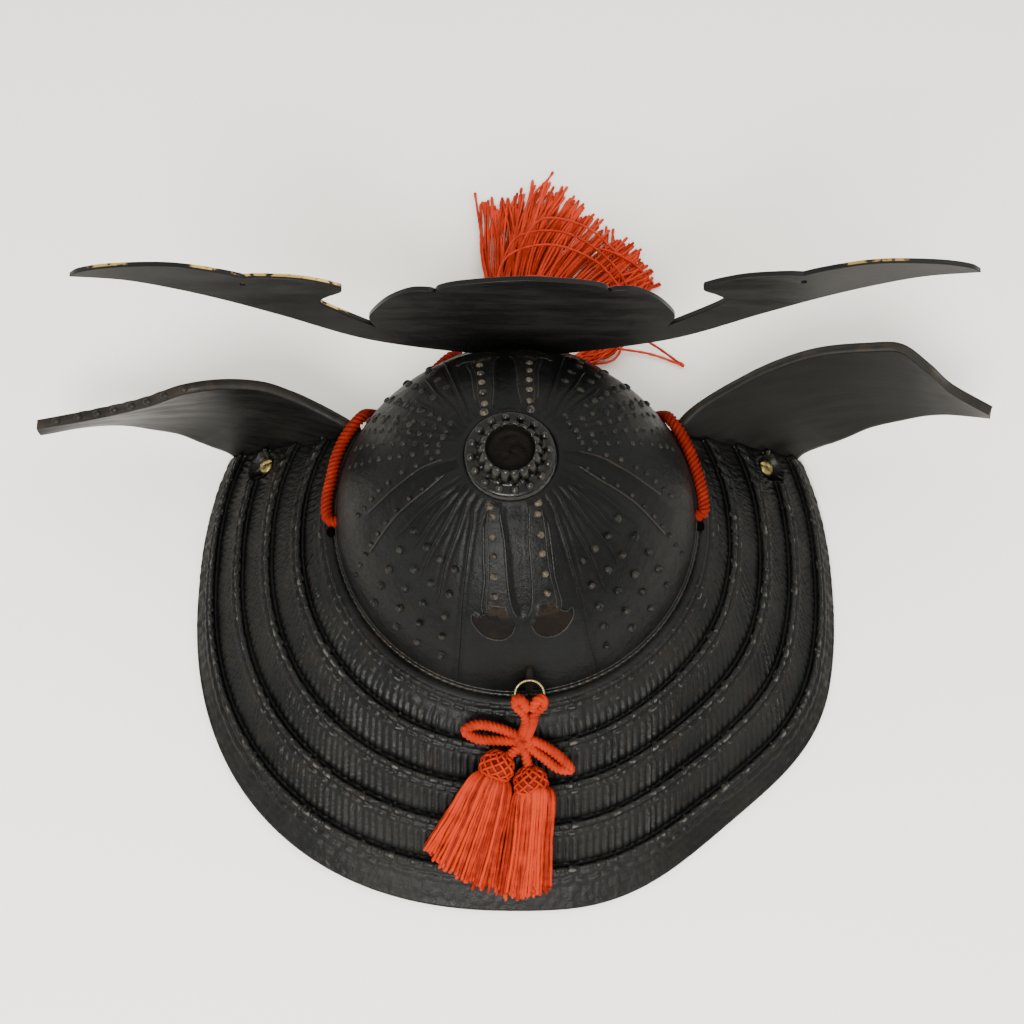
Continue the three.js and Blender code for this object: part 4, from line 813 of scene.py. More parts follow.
def guard_end(out):
    """How far past straight sideways the guard reaches before its front end."""
    out = np.asarray(out, float)
    low, high = np.zeros_like(out), np.full_like(out, math.pi / 2)
    for _ in range(40):
        middle = (low + high) / 2
        inside = guard_plan(-middle, out)[1] > -guard_front(out)
        low, high = np.where(inside, middle, low), np.where(inside, high, middle)
    return low


GUARD_COLUMNS = 580
LACE_PITCH, LIP_PITCH, FOOT_PITCH, FOOT_STRIPES = 2.5, 4.4, 4.3, 4.6
# Shares of a lame's width at which its surface has a row of points
LAME_ROWS = [0, 0.03, 0.06, 0.1, 0.14, 0.185, 0.22, 0.25, 0.285, 0.33, 0.39, 0.46, 0.56, 0.67, 0.78, 0.87, 0.94, 1]
# The pocket round the wing's screw: flat radius, outer radius, slope of its side, depth
POCKET_FLAT, POCKET_EDGE, POCKET_SLOPE, POCKET_DEPTH = 3.5, 7, 1.6, 0.2


def guard_rows(weight, width):
    """The guard's section as rows of (out, up, kind, share across the lame), from the bowl over the top and back."""
    edges = [(a + (b - a) * weight, GUARD_HEIGHT * up) for a, b, up in LAMES]
    rows = [(0, GUARD_HEIGHT + GAP, "plain", 0)]
    for index, (out, up) in enumerate(edges):
        first, last = index == 0, index == len(edges) - 1
        lip = 0.0 if first else LAME_STEP
        top = up + lip + (GAP if first else 0)
        rows += [(out + 0.2 / width, top - 0.5 * lip, "riser", 0), (out + 0.35 / width, top - 0.12, "riser", 1)]
        start = out + 0.7 / width
        end_out, end_up = (1.0, 2.2) if last else (edges[index + 1][0] - 0.6 / width, edges[index + 1][1] + 0.1)
        for t in LAME_ROWS:
            sag = 0.0 if last else 0.5 * math.sin(math.pi * t)
            rows.append((start + (end_out - start) * t, top + (end_up - top) * t - sag, "last" if last else "lame", t))
    rows += [(1.0, 1.5, "plain", 0), (1.0, 0.7, "plain", 0), (1 - 0.4 / width, 0.1, "plain", 0),
             (1 - GUARD_FOOT / width, 0.0, "under", 0)]
    rows += [(out - 1.5 / width, up - GUARD_WALL, "under", 0) for out, up in reversed(edges[1:])]
    ledge = GUARD_HEIGHT - BOWL_SKIRT - GAP
    return rows + [(out / width, up, "under", 0)
                   for out, up in ((1.8, ledge - 2.4), (-3.2, ledge - 2.4), (-3.2, ledge), (0.0, ledge))]


def guard_relief(rows, run):
    """Height of lips, lacing and dashes over the guard's rows, along each row's own length."""
    def waves(where, pitch, shift=0.0):
        return np.abs(np.sin(np.pi * (where + shift) / pitch))

    relief = np.zeros(run.shape)
    wobbles = np.interp(run, np.linspace(0, run.max() + 1, 160), rng.normal(0, 1, 160))
    strengths = 0.8 + 0.2 * np.interp(run, np.linspace(0, run.max() + 1, 60), rng.normal(0, 1, 60))
    lame = -1
    for column, (_, _, kind, t) in enumerate(rows):
        lame += kind == "riser" and t == 0
        wobble, where = wobbles[:, column], run[:, column]
        drift = 0.3 * wobble
        uneven = np.clip(0.75 + 0.3 * wobble, 0.25, 1.15)
        dash = smooth_step(0.18, 0.6, waves(where + drift, LIP_PITCH, 1.37 * lame)) * uneven
        if kind == "riser":
            relief[:, column] = (0.6 if t else 0.2) * dash * (lame > 0)
        elif kind == "lame":
            lace = waves(where + 0.6 * drift, LACE_PITCH, 0.6 * lame) ** 0.6
            slant = smooth_step(0.2, 0.7, waves(where + drift + 2.0, LIP_PITCH, 1.37 * lame))
            laced = smooth_step(0.3, 0.36, t) * (1 - smooth_step(0.88, 0.96, t))
            if lame == 0:
                laced = laced * smooth_step(0.6, 0.66, t)
                slant = slant * (1 + 0.8 * ridge(t - 0.46, 0.1))
                relief[:, column] = 0.6 * dash * ridge(t - 0.46, 0.05)
            relief[:, column] += (
                (0.85 if lame else 0.5) * dash * ridge(t - 0.05, 0.05) - 0.4 * ridge(t - 0.145, 0.03)
                + 0.7 * slant * uneven * ridge(t - 0.22, 0.04)
                + strengths[:, column] * (0.95 * lace - 0.45) * laced
                - 0.75 * smooth_step(0.9, 0.98, t)
            )
        elif kind == "last":
            stripe = waves(FOOT_STRIPES * t, 1, 0.1 * wobble)
            dashes = 0.5 + 0.5 * waves(where, FOOT_PITCH, 2.1 * math.floor(FOOT_STRIPES * t)) ** 0.5
            faded = smooth_step(0.1, 0.16, t) * (1 - smooth_step(0.93, 1.0, t))
            relief[:, column] = 0.85 * dash * ridge(t - 0.04, 0.05) + (0.62 * stripe * dashes - 0.2) * faded
    return relief * smooth_step(0, 0.7, run.max(0, keepdims=True) - run)


def screw_pocket(points, outside, side):
    """Presses the guard's outer rows down round the wing's screw."""
    seat, out = screw_frame(side)
    rise = (points - seat) @ out
    aside = np.linalg.norm(points - seat - rise[..., None] * out, axis=-1)
    limit = np.maximum((aside - POCKET_FLAT) * POCKET_SLOPE, 0) - POCKET_DEPTH
    return points - out * (np.clip(rise - limit, 0, None) * (outside & (aside < POCKET_EDGE)))[..., None]


def guard_half(name, side):
    """One half of the guard from the middle of the back to its front end."""
    s = np.linspace(0, 1, GUARD_COLUMNS)[:, None] * side
    weight = np.cos(s * np.pi / 2) ** 1.5
    width = (1 - weight) * (GUARD_HALF_WIDTH - BOWL_HALF_WIDTH) + weight * (
        GUARD_SET_BACK + GUARD_HALF_LENGTH - BOWL_BACK)
    rows = guard_rows(weight, width)
    out, up = (np.concatenate([np.broadcast_to(row[k], s.shape) for row in rows], 1) for k in (0, 1))
    x, y = guard_plan(np.pi / 2 - s * (np.pi / 2 + guard_end(np.clip(out, 0, 1))), out)
    points = np.stack([x, y, up], -1)
    relief = guard_relief(rows, run_along(points))
    normal = unit(np.cross(np.gradient(points, axis=0), np.gradient(points, axis=1))) * side
    outside = np.array([kind in ("riser", "lame", "last") for _, _, kind, _ in rows])[None]
    points = screw_pocket(points + normal * relief[..., None], outside, side)
    Shell().add(*closed_strip(points), relief.ravel()).piece(name, IRON, "neck_guard", ["neck_guard"])


# Wings
RIGHT_WING = [
    (0.0, 0.0, 0.62, 0.42, 0.0, 0.03), (0.05, 0.24, 0.7, 0.45, 0.15, 0.07),
    (0.13, 0.49, 0.75, 0.51, 0.28, 0.12), (0.26, 0.77, 0.82, 0.58, 0.38, 0.17),
    (0.41, 0.91, 0.9, 0.65, 0.5, 0.22), (0.56, 0.91, 0.97, 0.75, 0.59, 0.27),
    (0.65, 0.86, 1.0, 0.82, 0.62, 0.32), (0.75, 0.68, 0.88, 0.88, 0.6, 0.36),
    (0.84, 0.58, 0.7, 0.94, 0.53, 0.4), (0.985, 0.37, 0.55, 1.0, 0.44, 0.45),
]
LEFT_WING = [
    (0.0, 0.0, 0.62, 0.42, 0.0, 0.03), (0.06, 0.12, 0.7, 0.45, 0.12, 0.07),
    (0.12, 0.24, 0.75, 0.5, 0.22, 0.11), (0.19, 0.34, 0.82, 0.55, 0.31, 0.16),
    (0.27, 0.37, 0.9, 0.6, 0.37, 0.21), (0.38, 0.28, 0.97, 0.68, 0.4, 0.26),
    (0.49, 0.14, 1.0, 0.75, 0.42, 0.3), (0.61, 0.08, 0.88, 0.82, 0.38, 0.34),
    (0.76, 0.12, 0.7, 0.91, 0.26, 0.39), (0.985, 0.06, 0.56, 1.0, 0.06, 0.46),
]


WING_COLUMNS, WING_ROWS, WING_KNOB_PITCH, WING_BORDER_AT = 150, 44, 6.8, 3.0


def make_wing(name, edges, side):
    root = float(guard_plan(-guard_end(0.0), 0.0)[0]) + 1
    tip = float(guard_plan(-guard_end(1.0), 1.0)[0]) + WING_SPAN
    root_reach = edges[0][3]

    def at(out, ahead, up):
        front = guard_front(min(out / root_reach, 1))
        return (root + (tip - root) * out, -(front + 2 * GAP + ahead * WING_AHEAD), up * WING_HEIGHT)

    top, low = (curve_through([at(*edge[k:k + 3]) for edge in edges], WING_COLUMNS) for k in (0, 3))
    share = np.linspace(0, 1, WING_ROWS)[None, :, None]
    surface = top[:, None] * (1 - share) + low[:, None] * share
    normal = unit(np.cross(np.gradient(surface, axis=0), np.gradient(surface, axis=1)))
    seat = np.minimum(np.arange(WING_COLUMNS) / (WING_COLUMNS / 4.5), 1)[:, None, None] / 2
    front = surface + normal * WING_PLATE * (seat - 0.5)
    back = surface + normal * WING_PLATE * (seat + 0.5)
    if front[WING_COLUMNS // 2, WING_ROWS // 2, 1] > back[WING_COLUMNS // 2, WING_ROWS // 2, 1]:
        front, back, normal = back, front, -normal
    # Raised border and its knobs on the front face
    run = run_along(top)[:, None]
    width = np.linalg.norm(low - top, axis=1)[:, None]
    depth = np.linspace(0, 1, WING_ROWS)[None] * width
    knobs = np.abs(np.sin(np.pi * run / WING_KNOB_PITCH)) ** 0.6
    border = ridge(np.minimum(depth, width - depth) - WING_BORDER_AT, 0.9) * (0.15 + 0.35 * knobs)
    fade = smooth_step(0, 8, run) * smooth_step(0, 3, run.max() - run)
    front = front - normal * (border * fade)[..., None]
    rings = np.concatenate([front, back[:, ::-1]], 1)
    # The root's end is flat against the guard's
    inner, outer = at(0, 0, 0), at(root_reach, 0, 0)
    slope = (np.clip(rings[0, :, 0], inner[0], outer[0]) - inner[0]) / (outer[0] - inner[0])
    rings[0, :, 1] = inner[1] + slope * (outer[1] - inner[1])
    flat, faces = closed_strip(rings * [side, 1, 1])
    shell = Shell().add(flat, faces, 0.2)
    shades = [np.arange(len(faces[0])) % (2 * WING_ROWS) % WING_ROWS == WING_ROWS - 1,
              np.zeros(len(faces[1]), bool), np.ones(len(faces[2]), bool)]
    if side > 0:
        # Small bumps along the outer part of the left wing's top edge
        for column in (np.arange(0.5, 0.97, 0.062) * WING_COLUMNS).astype(int):
            bump = ball((front[column, 1] + back[column, 0]) / 2, (1.7, 1.3, 1.2), 14, 8)
            shell.add(*bump, value=0.3)
            shades += [np.ones(len(face), bool) for face in bump[1]]
    shell.piece(name + "_plate", [WING_BLACK, WING_EDGE], name, [name], shades=np.concatenate(shades).astype(int))


# Crest: half outline from the foot to the top of the middle, in runs that meet at corners
CREST_RUNS = [
    [(0.0, 0.0), (0.113, 0.017), (0.364, 0.19), (0.557, 0.477), (0.675, 0.647), (0.78, 0.773),
     (0.886, 0.867), (1.0, 0.905)],
    [(1.0, 0.905), (0.975, 0.945), (0.91, 0.983), (0.814, 0.997), (0.743, 0.98), (0.663, 0.92),
     (0.62, 0.873)],
    [(0.62, 0.873), (0.579, 0.878), (0.5, 0.858), (0.443, 0.812), (0.409, 0.768)],
    [(0.409, 0.768), (0.412, 0.727), (0.443, 0.683), (0.462, 0.637), (0.451, 0.567), (0.343, 0.33)],
    [(0.343, 0.33), (0.354, 0.4), (0.354, 0.47), (0.311, 0.628), (0.257, 0.725), (0.214, 0.733),
     (0.196, 0.713)],
    [(0.196, 0.713), (0.186, 0.755), (0.143, 0.795), (0.057, 0.828), (0.0, 0.838)],
]
CREST_HOLE = (0.625, 0.815, 1.1)
CREST_FOOT, CREST_BEVEL, CREST_TILT = (5.0, -4.4), 0.22, 1


def plain_spline(points, count):
    """Points on the uniform Catmull-Rom curve through flat points, ends repeated."""
    p = np.asarray(points, float)
    t = np.linspace(0, len(p) - 1, count)
    k = np.minimum(t.astype(int), len(p) - 2)
    w = (t - k)[:, None]
    p0, p1 = p[np.maximum(k - 1, 0)], p[k]
    p2, p3 = p[k + 1], p[np.minimum(k + 2, len(p) - 1)]
    v0, v1 = (p2 - p0) / 2, (p3 - p1) / 2
    return ((2 * p1 - 2 * p2 + v0 + v1) * w ** 3 + (-3 * p1 + 3 * p2 - 2 * v0 - v1) * w ** 2 + v0 * w + p1)


def flat_curve(name, loops, half_thickness, bevel):
    data = bpy.data.curves.new(name, "CURVE")
    data.dimensions, data.fill_mode = "2D", "BOTH"
    data.extrude, data.bevel_depth, data.bevel_resolution = half_thickness - bevel, bevel, 2
    for loop in loops:
        spline = data.splines.new("POLY")
        spline.points.add(len(loop) - 1)
        for point, (x, y) in zip(spline.points, loop):
            point.co = (x, y, 0, 1)
        spline.use_cyclic_u = True
    holder = bpy.data.objects.new(name, data)
    bpy.context.scene.collection.objects.link(holder)
    graph = bpy.context.evaluated_depsgraph_get()
    mesh = bpy.data.meshes.new_from_object(holder.evaluated_get(graph))
    bpy.data.objects.remove(holder)
    return mesh


def make_crest():
    half = []
    for run in CREST_RUNS:
        half += list(plain_spline(run, 9 * (len(run) - 1) + 1)[1:] * [CREST_HALF_SPAN, CREST_HEIGHT])
    # The runs' first points, at the foot, give way to the tang
    half = [tuple(p) for p in half if p[0] > 6 or p[1] > CREST_HEIGHT / 2]
    right = [CREST_FOOT, (CREST_FOOT[0], 0.0), *half[:-1]]
    loops = [right + [half[-1]] + [(-x, y) for x, y in reversed(right)]]
    for way in (1, -1):
        centre = np.array([way * CREST_HOLE[0] * CREST_HALF_SPAN, CREST_HOLE[1] * CREST_HEIGHT])
        turn = np.linspace(0, -2 * np.pi, 16, endpoint=False)
        loops.append([tuple(centre + CREST_HOLE[2] * np.array([np.cos(a), np.sin(a)])) for a in turn])
    mesh = flat_curve("crest_plate", loops, (CREST_PLATE + CREST_BEVEL) / 2, CREST_BEVEL)
    co = np.empty(len(mesh.vertices) * 3)
    mesh.vertices.foreach_get("co", co)
    x, up, out = co.reshape(-1, 3).T
    tilt = math.radians(CREST_TILT)
    placed = np.stack([x * math.cos(tilt) + CREST_SHIFT, out - CREST_PLATE / 2 - CREST_BACK,
                       VISOR_TOP + GAP + up - x * math.sin(tilt)], 1)
    mesh.vertices.foreach_set("co", ((placed + ORIGIN) * MM).ravel())
    mesh.flip_normals()
    mesh.update()
    for material in (CREST_BLACK, GILT, CREST_EDGE):
        mesh.materials.append(material)
    for polygon in mesh.polygons:
        facing = polygon.normal.y
        polygon.material_index = 1 if facing < -0.9 else 0 if facing > 0.9 else 2
        polygon.use_smooth = False
    settle(bpy.data.objects.new("crest_plate", mesh), ["crest"])


# Visor
VISOR_COLUMNS, VISOR_ROWS = 120, 24
# The crest's socket: half width, half depth and height over its foot, from the bottom up
SOCKET_RINGS = [(8.4, 2.9, 0), (9, 3.5, 0.6), (9, 3.5, 7.5), (8.8, 3.3, 7.6)]


def make_visor():
    turn = np.linspace(-VISOR_HALF_ANGLE, VISOR_HALF_ANGLE, VISOR_COLUMNS)[:, None]
    reach = VISOR_REACH * np.cos(np.radians(turn / VISOR_HALF_ANGLE * 62))
    share = np.linspace(0, 1, VISOR_ROWS)[None]
    x, y = bowl_plan(np.radians(turn - 90), -BOWL_WALL + (reach + BOWL_WALL) * share)
    droop = VISOR_DROP * np.maximum(share - 0.2, 0) ** 1.5
    roll = 0.5 * ridge(share - 0.96, 0.03)
    top = np.stack(np.broadcast_arrays(x, y, VISOR_TOP - droop + roll), -1)
    rings = np.concatenate([top, top[:, ::-1] - [0, 0, VISOR_PLATE]], 1)
    shell = Shell().add(*closed_strip(rings, (1, 2), (-1, 1)))
    foot, depth = VISOR_TOP - 1 - SOCKET_RINGS[-1][2], CREST_BACK + CREST_PLATE / 2
    shell.add(*capped(np.array([
        [(CREST_SHIFT + sx * a, -depth + sy * b, foot + up) for sx, sy in ((-1, -1), (1, -1), (1, 1), (-1, 1))]
        for a, b, up in SOCKET_RINGS])))
    shell.piece("visor_brim", IRON, "visor", ["visor"])


# Screws
SCREW_OUT, SCREW_BEHIND = 0.66, 6.0
SCREW_PROFILE = [(1.5, -4.0), (1.5, 0.2), (2.7, 0.25), (2.9, 0.5), (2.9, 1.0), (2.75, 1.35), (2.4, 1.65), (1.8, 1.85),
                 (1.0, 1.95), (0.1, 1.98)]
# The slot is pressed into the rings above this height
SLOT_FLOOR, SLOT_DEPTH = 1.2, 0.75


def screw_frame(side):
    """Middle of a wing's screw on the guard, and the direction out of it."""
    x = float(guard_plan(-guard_end(SCREW_OUT), SCREW_OUT)[0]) + 1.6
    slope = math.atan2(GUARD_HEIGHT, GUARD_HALF_WIDTH - BOWL_HALF_WIDTH)
    out = np.array([side * math.sin(slope), 0, math.cos(slope)])
    return np.array([side * x, SCREW_BEHIND - guard_front(SCREW_OUT), GUARD_HEIGHT * (1 - SCREW_OUT) + 1]), out


def make_screw(name, side):
    point, out = screw_frame(side)
    way = unit(np.cross(out, [0, 1, 0]))
    rings = lathe(point, out, way, SCREW_PROFILE, 40)
    spin = math.radians(90 + 20 * side)
    across = (rings - point) @ (math.cos(spin) * way + math.sin(spin) * np.cross(out, way))
    deep = 1 - smooth_step(0.4, 0.55, np.abs(across))
    upper = np.array([up > SLOT_FLOOR for _, up in SCREW_PROFILE])[:, None]
    rings = rings - out * (deep * upper * SLOT_DEPTH)[..., None]
    Shell().add(*capped(rings)).piece(name + "_head", BRASS, name, [name])


# Hook and ring
HOOK_HEIGHT, HOOK_TURN, HOOK_EYE_DROP, HOOK_STANDOFF, RING_RADIUS, RING_LEAN = 14.7, 1.0, 2.2, 2.4, 4.4, 58.0


def climb_at(height):
    return math.asin((height / BOWL_RISE) ** (1 / BOWL_TAPER)) / (math.pi / 2)


def hook_eye():
    slot_point, _ = bowl_frame(HOOK_TURN, climb_at(HOOK_HEIGHT))
    below, _ = bowl_frame(HOOK_TURN, climb_at(HOOK_HEIGHT - HOOK_EYE_DROP))
    return np.array([slot_point[0], below[1] + HOOK_STANDOFF, slot_point[2] - HOOK_EYE_DROP])


def ring_down(radius):
    lean = math.radians(RING_LEAN)
    return np.array([0, radius * math.sin(lean), -radius * math.cos(lean)])


def make_hook_and_ring():
    start, _ = bowl_frame(HOOK_TURN, climb_at(HOOK_HEIGHT))
    low, _ = bowl_frame(HOOK_TURN, climb_at(HOOK_HEIGHT - 10))
    eye = hook_eye()
    spine = curve_through([
        start + [0, -6, 0], start + [0, 0.4, 0.1], eye + [0, -1.2, 1.2], eye + [0, -0.4, -2.4],
        [start[0], low[1] + 1.5, low[2] + 0.4]], 40)
    width = np.interp(np.linspace(0, 1, 40), [0, 0.4, 0.8, 1], [1.0, 1.1, 1.45, 1.0])
    off = tube(spine, 1.0, 16) - spine[:, None]
    off[..., 0] *= width[:, None]
    off[..., 1:] *= 0.55
    Shell().add(*capped(spine[:, None] + off)).piece("hook_strip", RUSTY, "ring_hook", ["ring_hook"])
    turn = full_turn(96)[:, None]
    path = eye + ring_down(RING_RADIUS) + RING_RADIUS * (np.cos(turn) * [1, 0, 0] + np.sin(turn) * unit(ring_down(1.0)))
    rings = tube(np.vstack([path, path[:1]]), 0.38, 10)[:-1]
    Shell().add(*grid(rings, wrap_u=True, wrap_v=True)).piece("wire_ring", WIRE, "ring", ["ring"])


# Knot
KNOT_HEART = np.array([-2.6, 74.6, 34.0])
KNOT_ROUTES = [
    [(-2.6, 74, 34.6), (5, 71.2, 36.4), (12.6, 70.2, 36.6), (15.6, 71.8, 35.6), (12.6, 73.9, 34.8),
     (5, 74.6, 34.6), (-2.6, 74.6, 34.2)],
    [(-3, 73.6, 34.8), (-9, 76.2, 34.2), (-14.6, 80, 32.4), (-17, 82.8, 30.8), (-13.4, 82.6, 31.2),
     (-8, 79, 32.8), (-3, 75.4, 33.8)],
    [(-2.4, 75, 33.8), (-0.4, 77, 33.4), (2.2, 79.2, 33.2)],
    [(-2.6, 75, 33.8), (-3.2, 78.4, 32.6), (-4.0, 82.0, 31.6)],
]


def braid(shell, points, radius=KNOT_CORD * KNOT_REACH):
    shell.cord(spaced_curve(points, 0.3, 12), radius, 18, 3, 0.36, 3.9, 0.5)


def make_knot():
    shell = Shell()
    eye = hook_eye()
    bottom = eye + ring_down(2 * RING_RADIUS)
    for side in (-1, 1):
        # A loop over the ring's wire on each side, then down to the heart
        over = eye + ring_down(1.55 * RING_RADIUS) + [side * 3.2, 0, 0]
        braid(shell, [
            bottom + [side * 0.4, 1.4, 1.6], over + [side * -0.9, 0.2, 1.7], over + [side * 0.7, -0.6, 0.9],
            over + [side * 0.9, 1.0, -0.9], bottom + [side * 1.6, 1.8, -0.3], bottom + [side * 1.0, 4.0, -1.6],
            KNOT_HEART + [side * 0.9, -1.0, 0.6]])
    for route in KNOT_ROUTES:
        braid(shell, route)
    # Heart of the knot: cords that cross over and under each other
    for angle in np.arange(4) * math.pi / 2 + 0.5:
        way = np.array([math.cos(angle), math.sin(angle), -0.45 * math.sin(angle)])
        middle = KNOT_HEART + 1.35 * np.array([-math.sin(angle), math.cos(angle), -0.45 * math.cos(angle)])
        braid(shell, [middle - 3.4 * way + [0, 0, 0.2], middle + [0, 0, 1.1], middle + 3.4 * way + [0, 0, 0.2]], 1.5)
    shell.piece("knot_cord", SILK, "agemaki_knot", ["agemaki_knot"])


# Tassels
def strand(shell, points, radius, step, end_knot):
    path = spaced_curve(points, step, 6, 40)
    size = np.full(len(path), radius)
    size[-3:] *= (1.0, end_knot, 0.8 * end_knot)
    shell.cord(path, size, 6, 2, 0.22, 1.9, rng.uniform(0.1, 0.95))


NET_CORDS = 9


def net_head(shell, centre, radius, axis):
    """Knotted net over a tassel's head, on its core."""
    axis = unit(np.asarray(axis, float))
    side = unit(np.cross(axis, [0, 0, 1]))
    other = np.cross(axis, side)

    def on_ball(rise, turn, lift):
        return centre + (radius + lift) * (np.sin(rise) * axis + np.cos(rise) * (
            np.cos(turn) * side + 0.92 * np.sin(turn) * other))

    turns = np.linspace(0, 1, 26)
    paths = []
    for way, phase in ((-1, np.pi), (1, 0)):
        lift = 0.12 + 0.2 * np.sin(turns * 6 * np.pi + phase)
        for start in full_turn(NET_CORDS):
            turn = start + way * 2.3 * turns
            paths.append((0.46, [on_ball(*spot) for spot in zip(-1.35 + 1.9 * turns, turn, lift)]))
    for rise in (0.42, 0.62):
        paths.append((0.5, [on_ball(rise, t, 0.25 + 0.15 * math.sin(9 * t)) for t in np.linspace(0, 2 * np.pi, 49)]))
    for radius_of, path in paths:
        shell.cord(np.array(path), radius_of, 6, 2, 0.2, 1.6, 0.55)


# Head, way down from it, curve of the tips and line that the strands leave from, left to right in the photograph
REAR_TASSELS = {
    "rear_tassel_left": dict(head=(5.8, 82.4, 31.8), axis=(0.33, 0.86, -0.38),
                             tips=[(28.6, 105.6, 15.2), (20.4, 111.2, 12.2), (13.6, 115.2, 9.8),
                                   (6.6, 117.4, 8.8)],
                             start=[(13.0, 84.6, 28.2), (1.4, 88.2, 26.6)]),
    "rear_tassel_right": dict(head=(-4.8, 86.8, 29.2), axis=(-0.03, 0.9, -0.43),
                              tips=[(4.4, 118.0, 8.8), (-0.6, 118.8, 8.2), (-6.0, 118.2, 8.3),
                                    (-11.4, 116.4, 9.2)],
                              start=[(-0.2, 89.4, 25.4), (-11.6, 89.0, 25.6)]),
}
REAR_ACROSS, REAR_LAYERS = 27, 4


def guard_height(x, y):
    """Rough height of the guard's outer face below a point behind the bowl."""
    angle = math.atan2(y, x)
    low, high = 0.0, 1.0
    for _ in range(30):
        middle = (low + high) / 2
        px, py = guard_plan(np.array(angle), middle)
        if math.hypot(px, py) < math.hypot(x, y):
            low = middle
        else:
            high = middle
    steps = [(b, GUARD_HEIGHT * up + (LAME_STEP if k else 0)) for k, (_, b, up) in enumerate(LAMES)]
    return float(np.interp(low, *np.array([(0, GUARD_HEIGHT), *steps, (1, 2)]).T))


def make_rear_tassel(name, head, axis, tips, start):
    head, (left, right) = np.array(head), np.array(start, float)
    ends = curve_through(tips, 101)
    shell = Shell().add(*ball(head, (4.9, 4.9, 4.4)), value=0.1)
    net_head(shell, head, 5.0, axis)
    for layer in range(REAR_LAYERS):
        for k in range(REAR_ACROSS):
            share = (k + 0.5 + rng.uniform(-0.3, 0.3)) / REAR_ACROSS
            side = left + (right - left) * share
            bulge = math.sin(math.pi * share) * (1.6 + layer * 0.7)
            shoulder = side + [0, 0, 0.55 + layer * 0.95 + bulge]
            inner = head + unit(side - head) * 2.5
            tip = ends[int(share * 100)] + rng.normal(0, 0.65, 3) + [0, rng.uniform(-1.4, 0.9), 0]
            tip[2] = guard_height(tip[0], tip[1]) + 0.7 + layer * 0.75
            middle = shoulder * 0.45 + tip * 0.55
            middle[2] = max(middle[2] + 0.4, guard_height(middle[0], middle[1]) + 1.6 + layer * 0.85)
            middle[:2] += rng.normal(0, 0.35, 2)
            strand(shell, [inner, shoulder, middle, tip], 0.6, 0.8, 1.2)
    shell.piece(name + "_strands", SILK, name, [name])


# Tassel on the ground
FRONT_HEAD = np.array([0.0, -72.0, 5.9])
FRONT_TIPS = [(14.0, -141.5, 1), (6.0, -142.5, 1), (-4.0, -146.0, 1), (-14.0, -150.0, 1), (-22.0, -142.0, 1),
              (-30.0, -134.0, 1), (-38.0, -127.0, 1), (-45.0, -121.0, 1), (-49.0, -112.0, 1),
              (-52.0, -103.0, 1)]

# Strands that fall across the others in arcs
FRONT_ARCS = [
    [(9, -92, 8.5), (4, -112, 9.5), (-12, -118, 9), (-30, -112, 7), (-42, -98, 4)],
    [(8, -100, 9), (0, -121, 9), (-18, -124, 8), (-36, -112, 6), (-46, -94, 3)],
    [(10, -98, 8), (-4, -104, 9.5), (-18, -102, 8.8), (-30, -92, 6)],
    [(2, -96, 9), (-2, -118, 9.5), (-10, -130, 8), (-26, -128, 6), (-40, -116, 4)],
    [(11, -104, 6.5), (13, -118, 4), (12, -131, 2), (13.6, -142, 1)],
    [(-14, -90, 8), (-20, -108, 8), (-30, -118, 6), (-44, -114, 3), (-52, -106, 1)],
    [(-20, -82, 5), (-36, -78, 2.5), (-50, -76, 1.2), (-62.6, -71.2, 1)],
    [(-20, -84, 5), (-34, -80, 3), (-46, -82, 2), (-62, -71.6, 1)],
    [(-36, -100, 3), (-46, -98, 1.4), (-52, -101, 1), (-56, -95, 1)],
    [(-4, -140, 3), (-8, -147, 2), (-12, -152, 1.2), (-14.2, -156, 0.9)],
]
FRONT_STRANDS, LOW_STRANDS = 210, 26


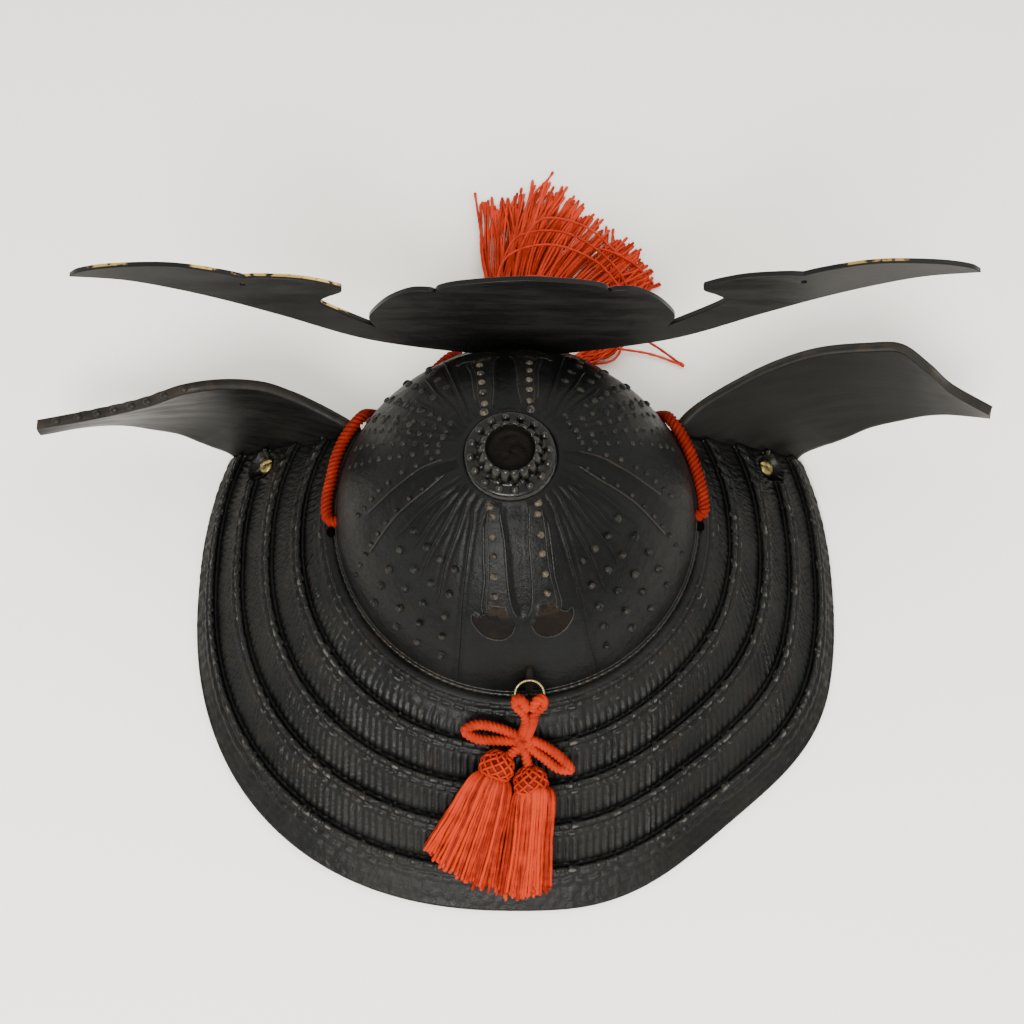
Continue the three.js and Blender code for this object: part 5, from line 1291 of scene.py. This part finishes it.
def make_front_tassel():
    shell = Shell().add(*ball(FRONT_HEAD, (5.2, 5.2, 4.6)), value=0.1)
    net_head(shell, FRONT_HEAD, 5.3, (-0.1, -0.97, -0.2))
    ends = curve_through(FRONT_TIPS, 201)
    for _ in range(FRONT_STRANDS):
        share = rng.uniform(0, 1) ** 1.05
        layer = rng.uniform(0, 1)
        start = FRONT_HEAD + [5.4 - 10.8 * share, -3.6, -3.5 + 6.0 * layer]
        tip = ends[int(share * 200)].copy()
        tip[:2] += rng.normal(0, 1.6, 2)
        tip[:2] = FRONT_HEAD[:2] + (tip[:2] - FRONT_HEAD[:2]) * rng.uniform(0.93, 1.02)
        tip[2] = 0.7 + 1.3 * layer
        way = tip - start
        shoulder = start + way * 0.3
        shoulder[0] = 0.62 * shoulder[0] + 0.38 * (start[0] * 2.1)
        shoulder[2] = 1.2 + 8.0 * layer * (1 - 0.5 * abs(share - 0.4))
        bend = start + way * 0.66
        side = np.array([way[1], -way[0], 0]) / np.linalg.norm(way)
        bend = bend + side * rng.normal(-3.0 * math.sin(math.pi * share), 1.8)
        bend[2] = 0.8 + 5.5 * layer * (1 - 0.4 * share)
        strand(shell, [start, shoulder, bend, tip], 0.52, 1.45, 1.45)
    for arc in FRONT_ARCS:
        strand(shell, arc, 0.5, 0.75, 1.5)
    # Strands that show below the crest on the right, on their way up to the fan
    for share in np.linspace(0, 1, LOW_STRANDS):
        start = FRONT_HEAD + [-4.6 - share, 2.2 - 3.4 * share, -2.0 + 4 * rng.uniform()]
        reach = (-16 - 20 * share, -70.5 - 4 * share + rng.normal(0, 0.8), 2.2 + 2.6 * rng.uniform())
        tip = ends[int((0.62 + 0.36 * share) * 200)].copy()
        tip[:2] += rng.normal(0, 1.5, 2)
        tip[2] = 0.9
        turn_up = (-30 - 12 * share, -82 - 8 * share, 2.0 + 2 * rng.uniform())
        strand(shell, [start, reach, turn_up, tip], 0.5, 1.45, 1.45)
    shell.piece("front_tassel_strands", FRONT_SILK_PAINTED_LIGHTER, "front_tassel", ["front_tassel"])


chin_cord("chin_cord_left", LEFT_CHIN_ROUTE)
chin_cord("chin_cord_right", RIGHT_CHIN_ROUTE)
make_front_tassel()
make_bowl()
make_trims()
make_rivets()
make_cord_holes()
make_crown()
guard_half("guard_left", -1)
guard_half("guard_right", 1)
make_wing("wing_left", LEFT_WING, 1)
make_wing("wing_right", RIGHT_WING, -1)
make_crest()
make_visor()
make_screw("screw_left", 1)
make_screw("screw_right", -1)
make_hook_and_ring()
make_knot()
for name, parts in REAR_TASSELS.items():
    make_rear_tassel(name, **parts)
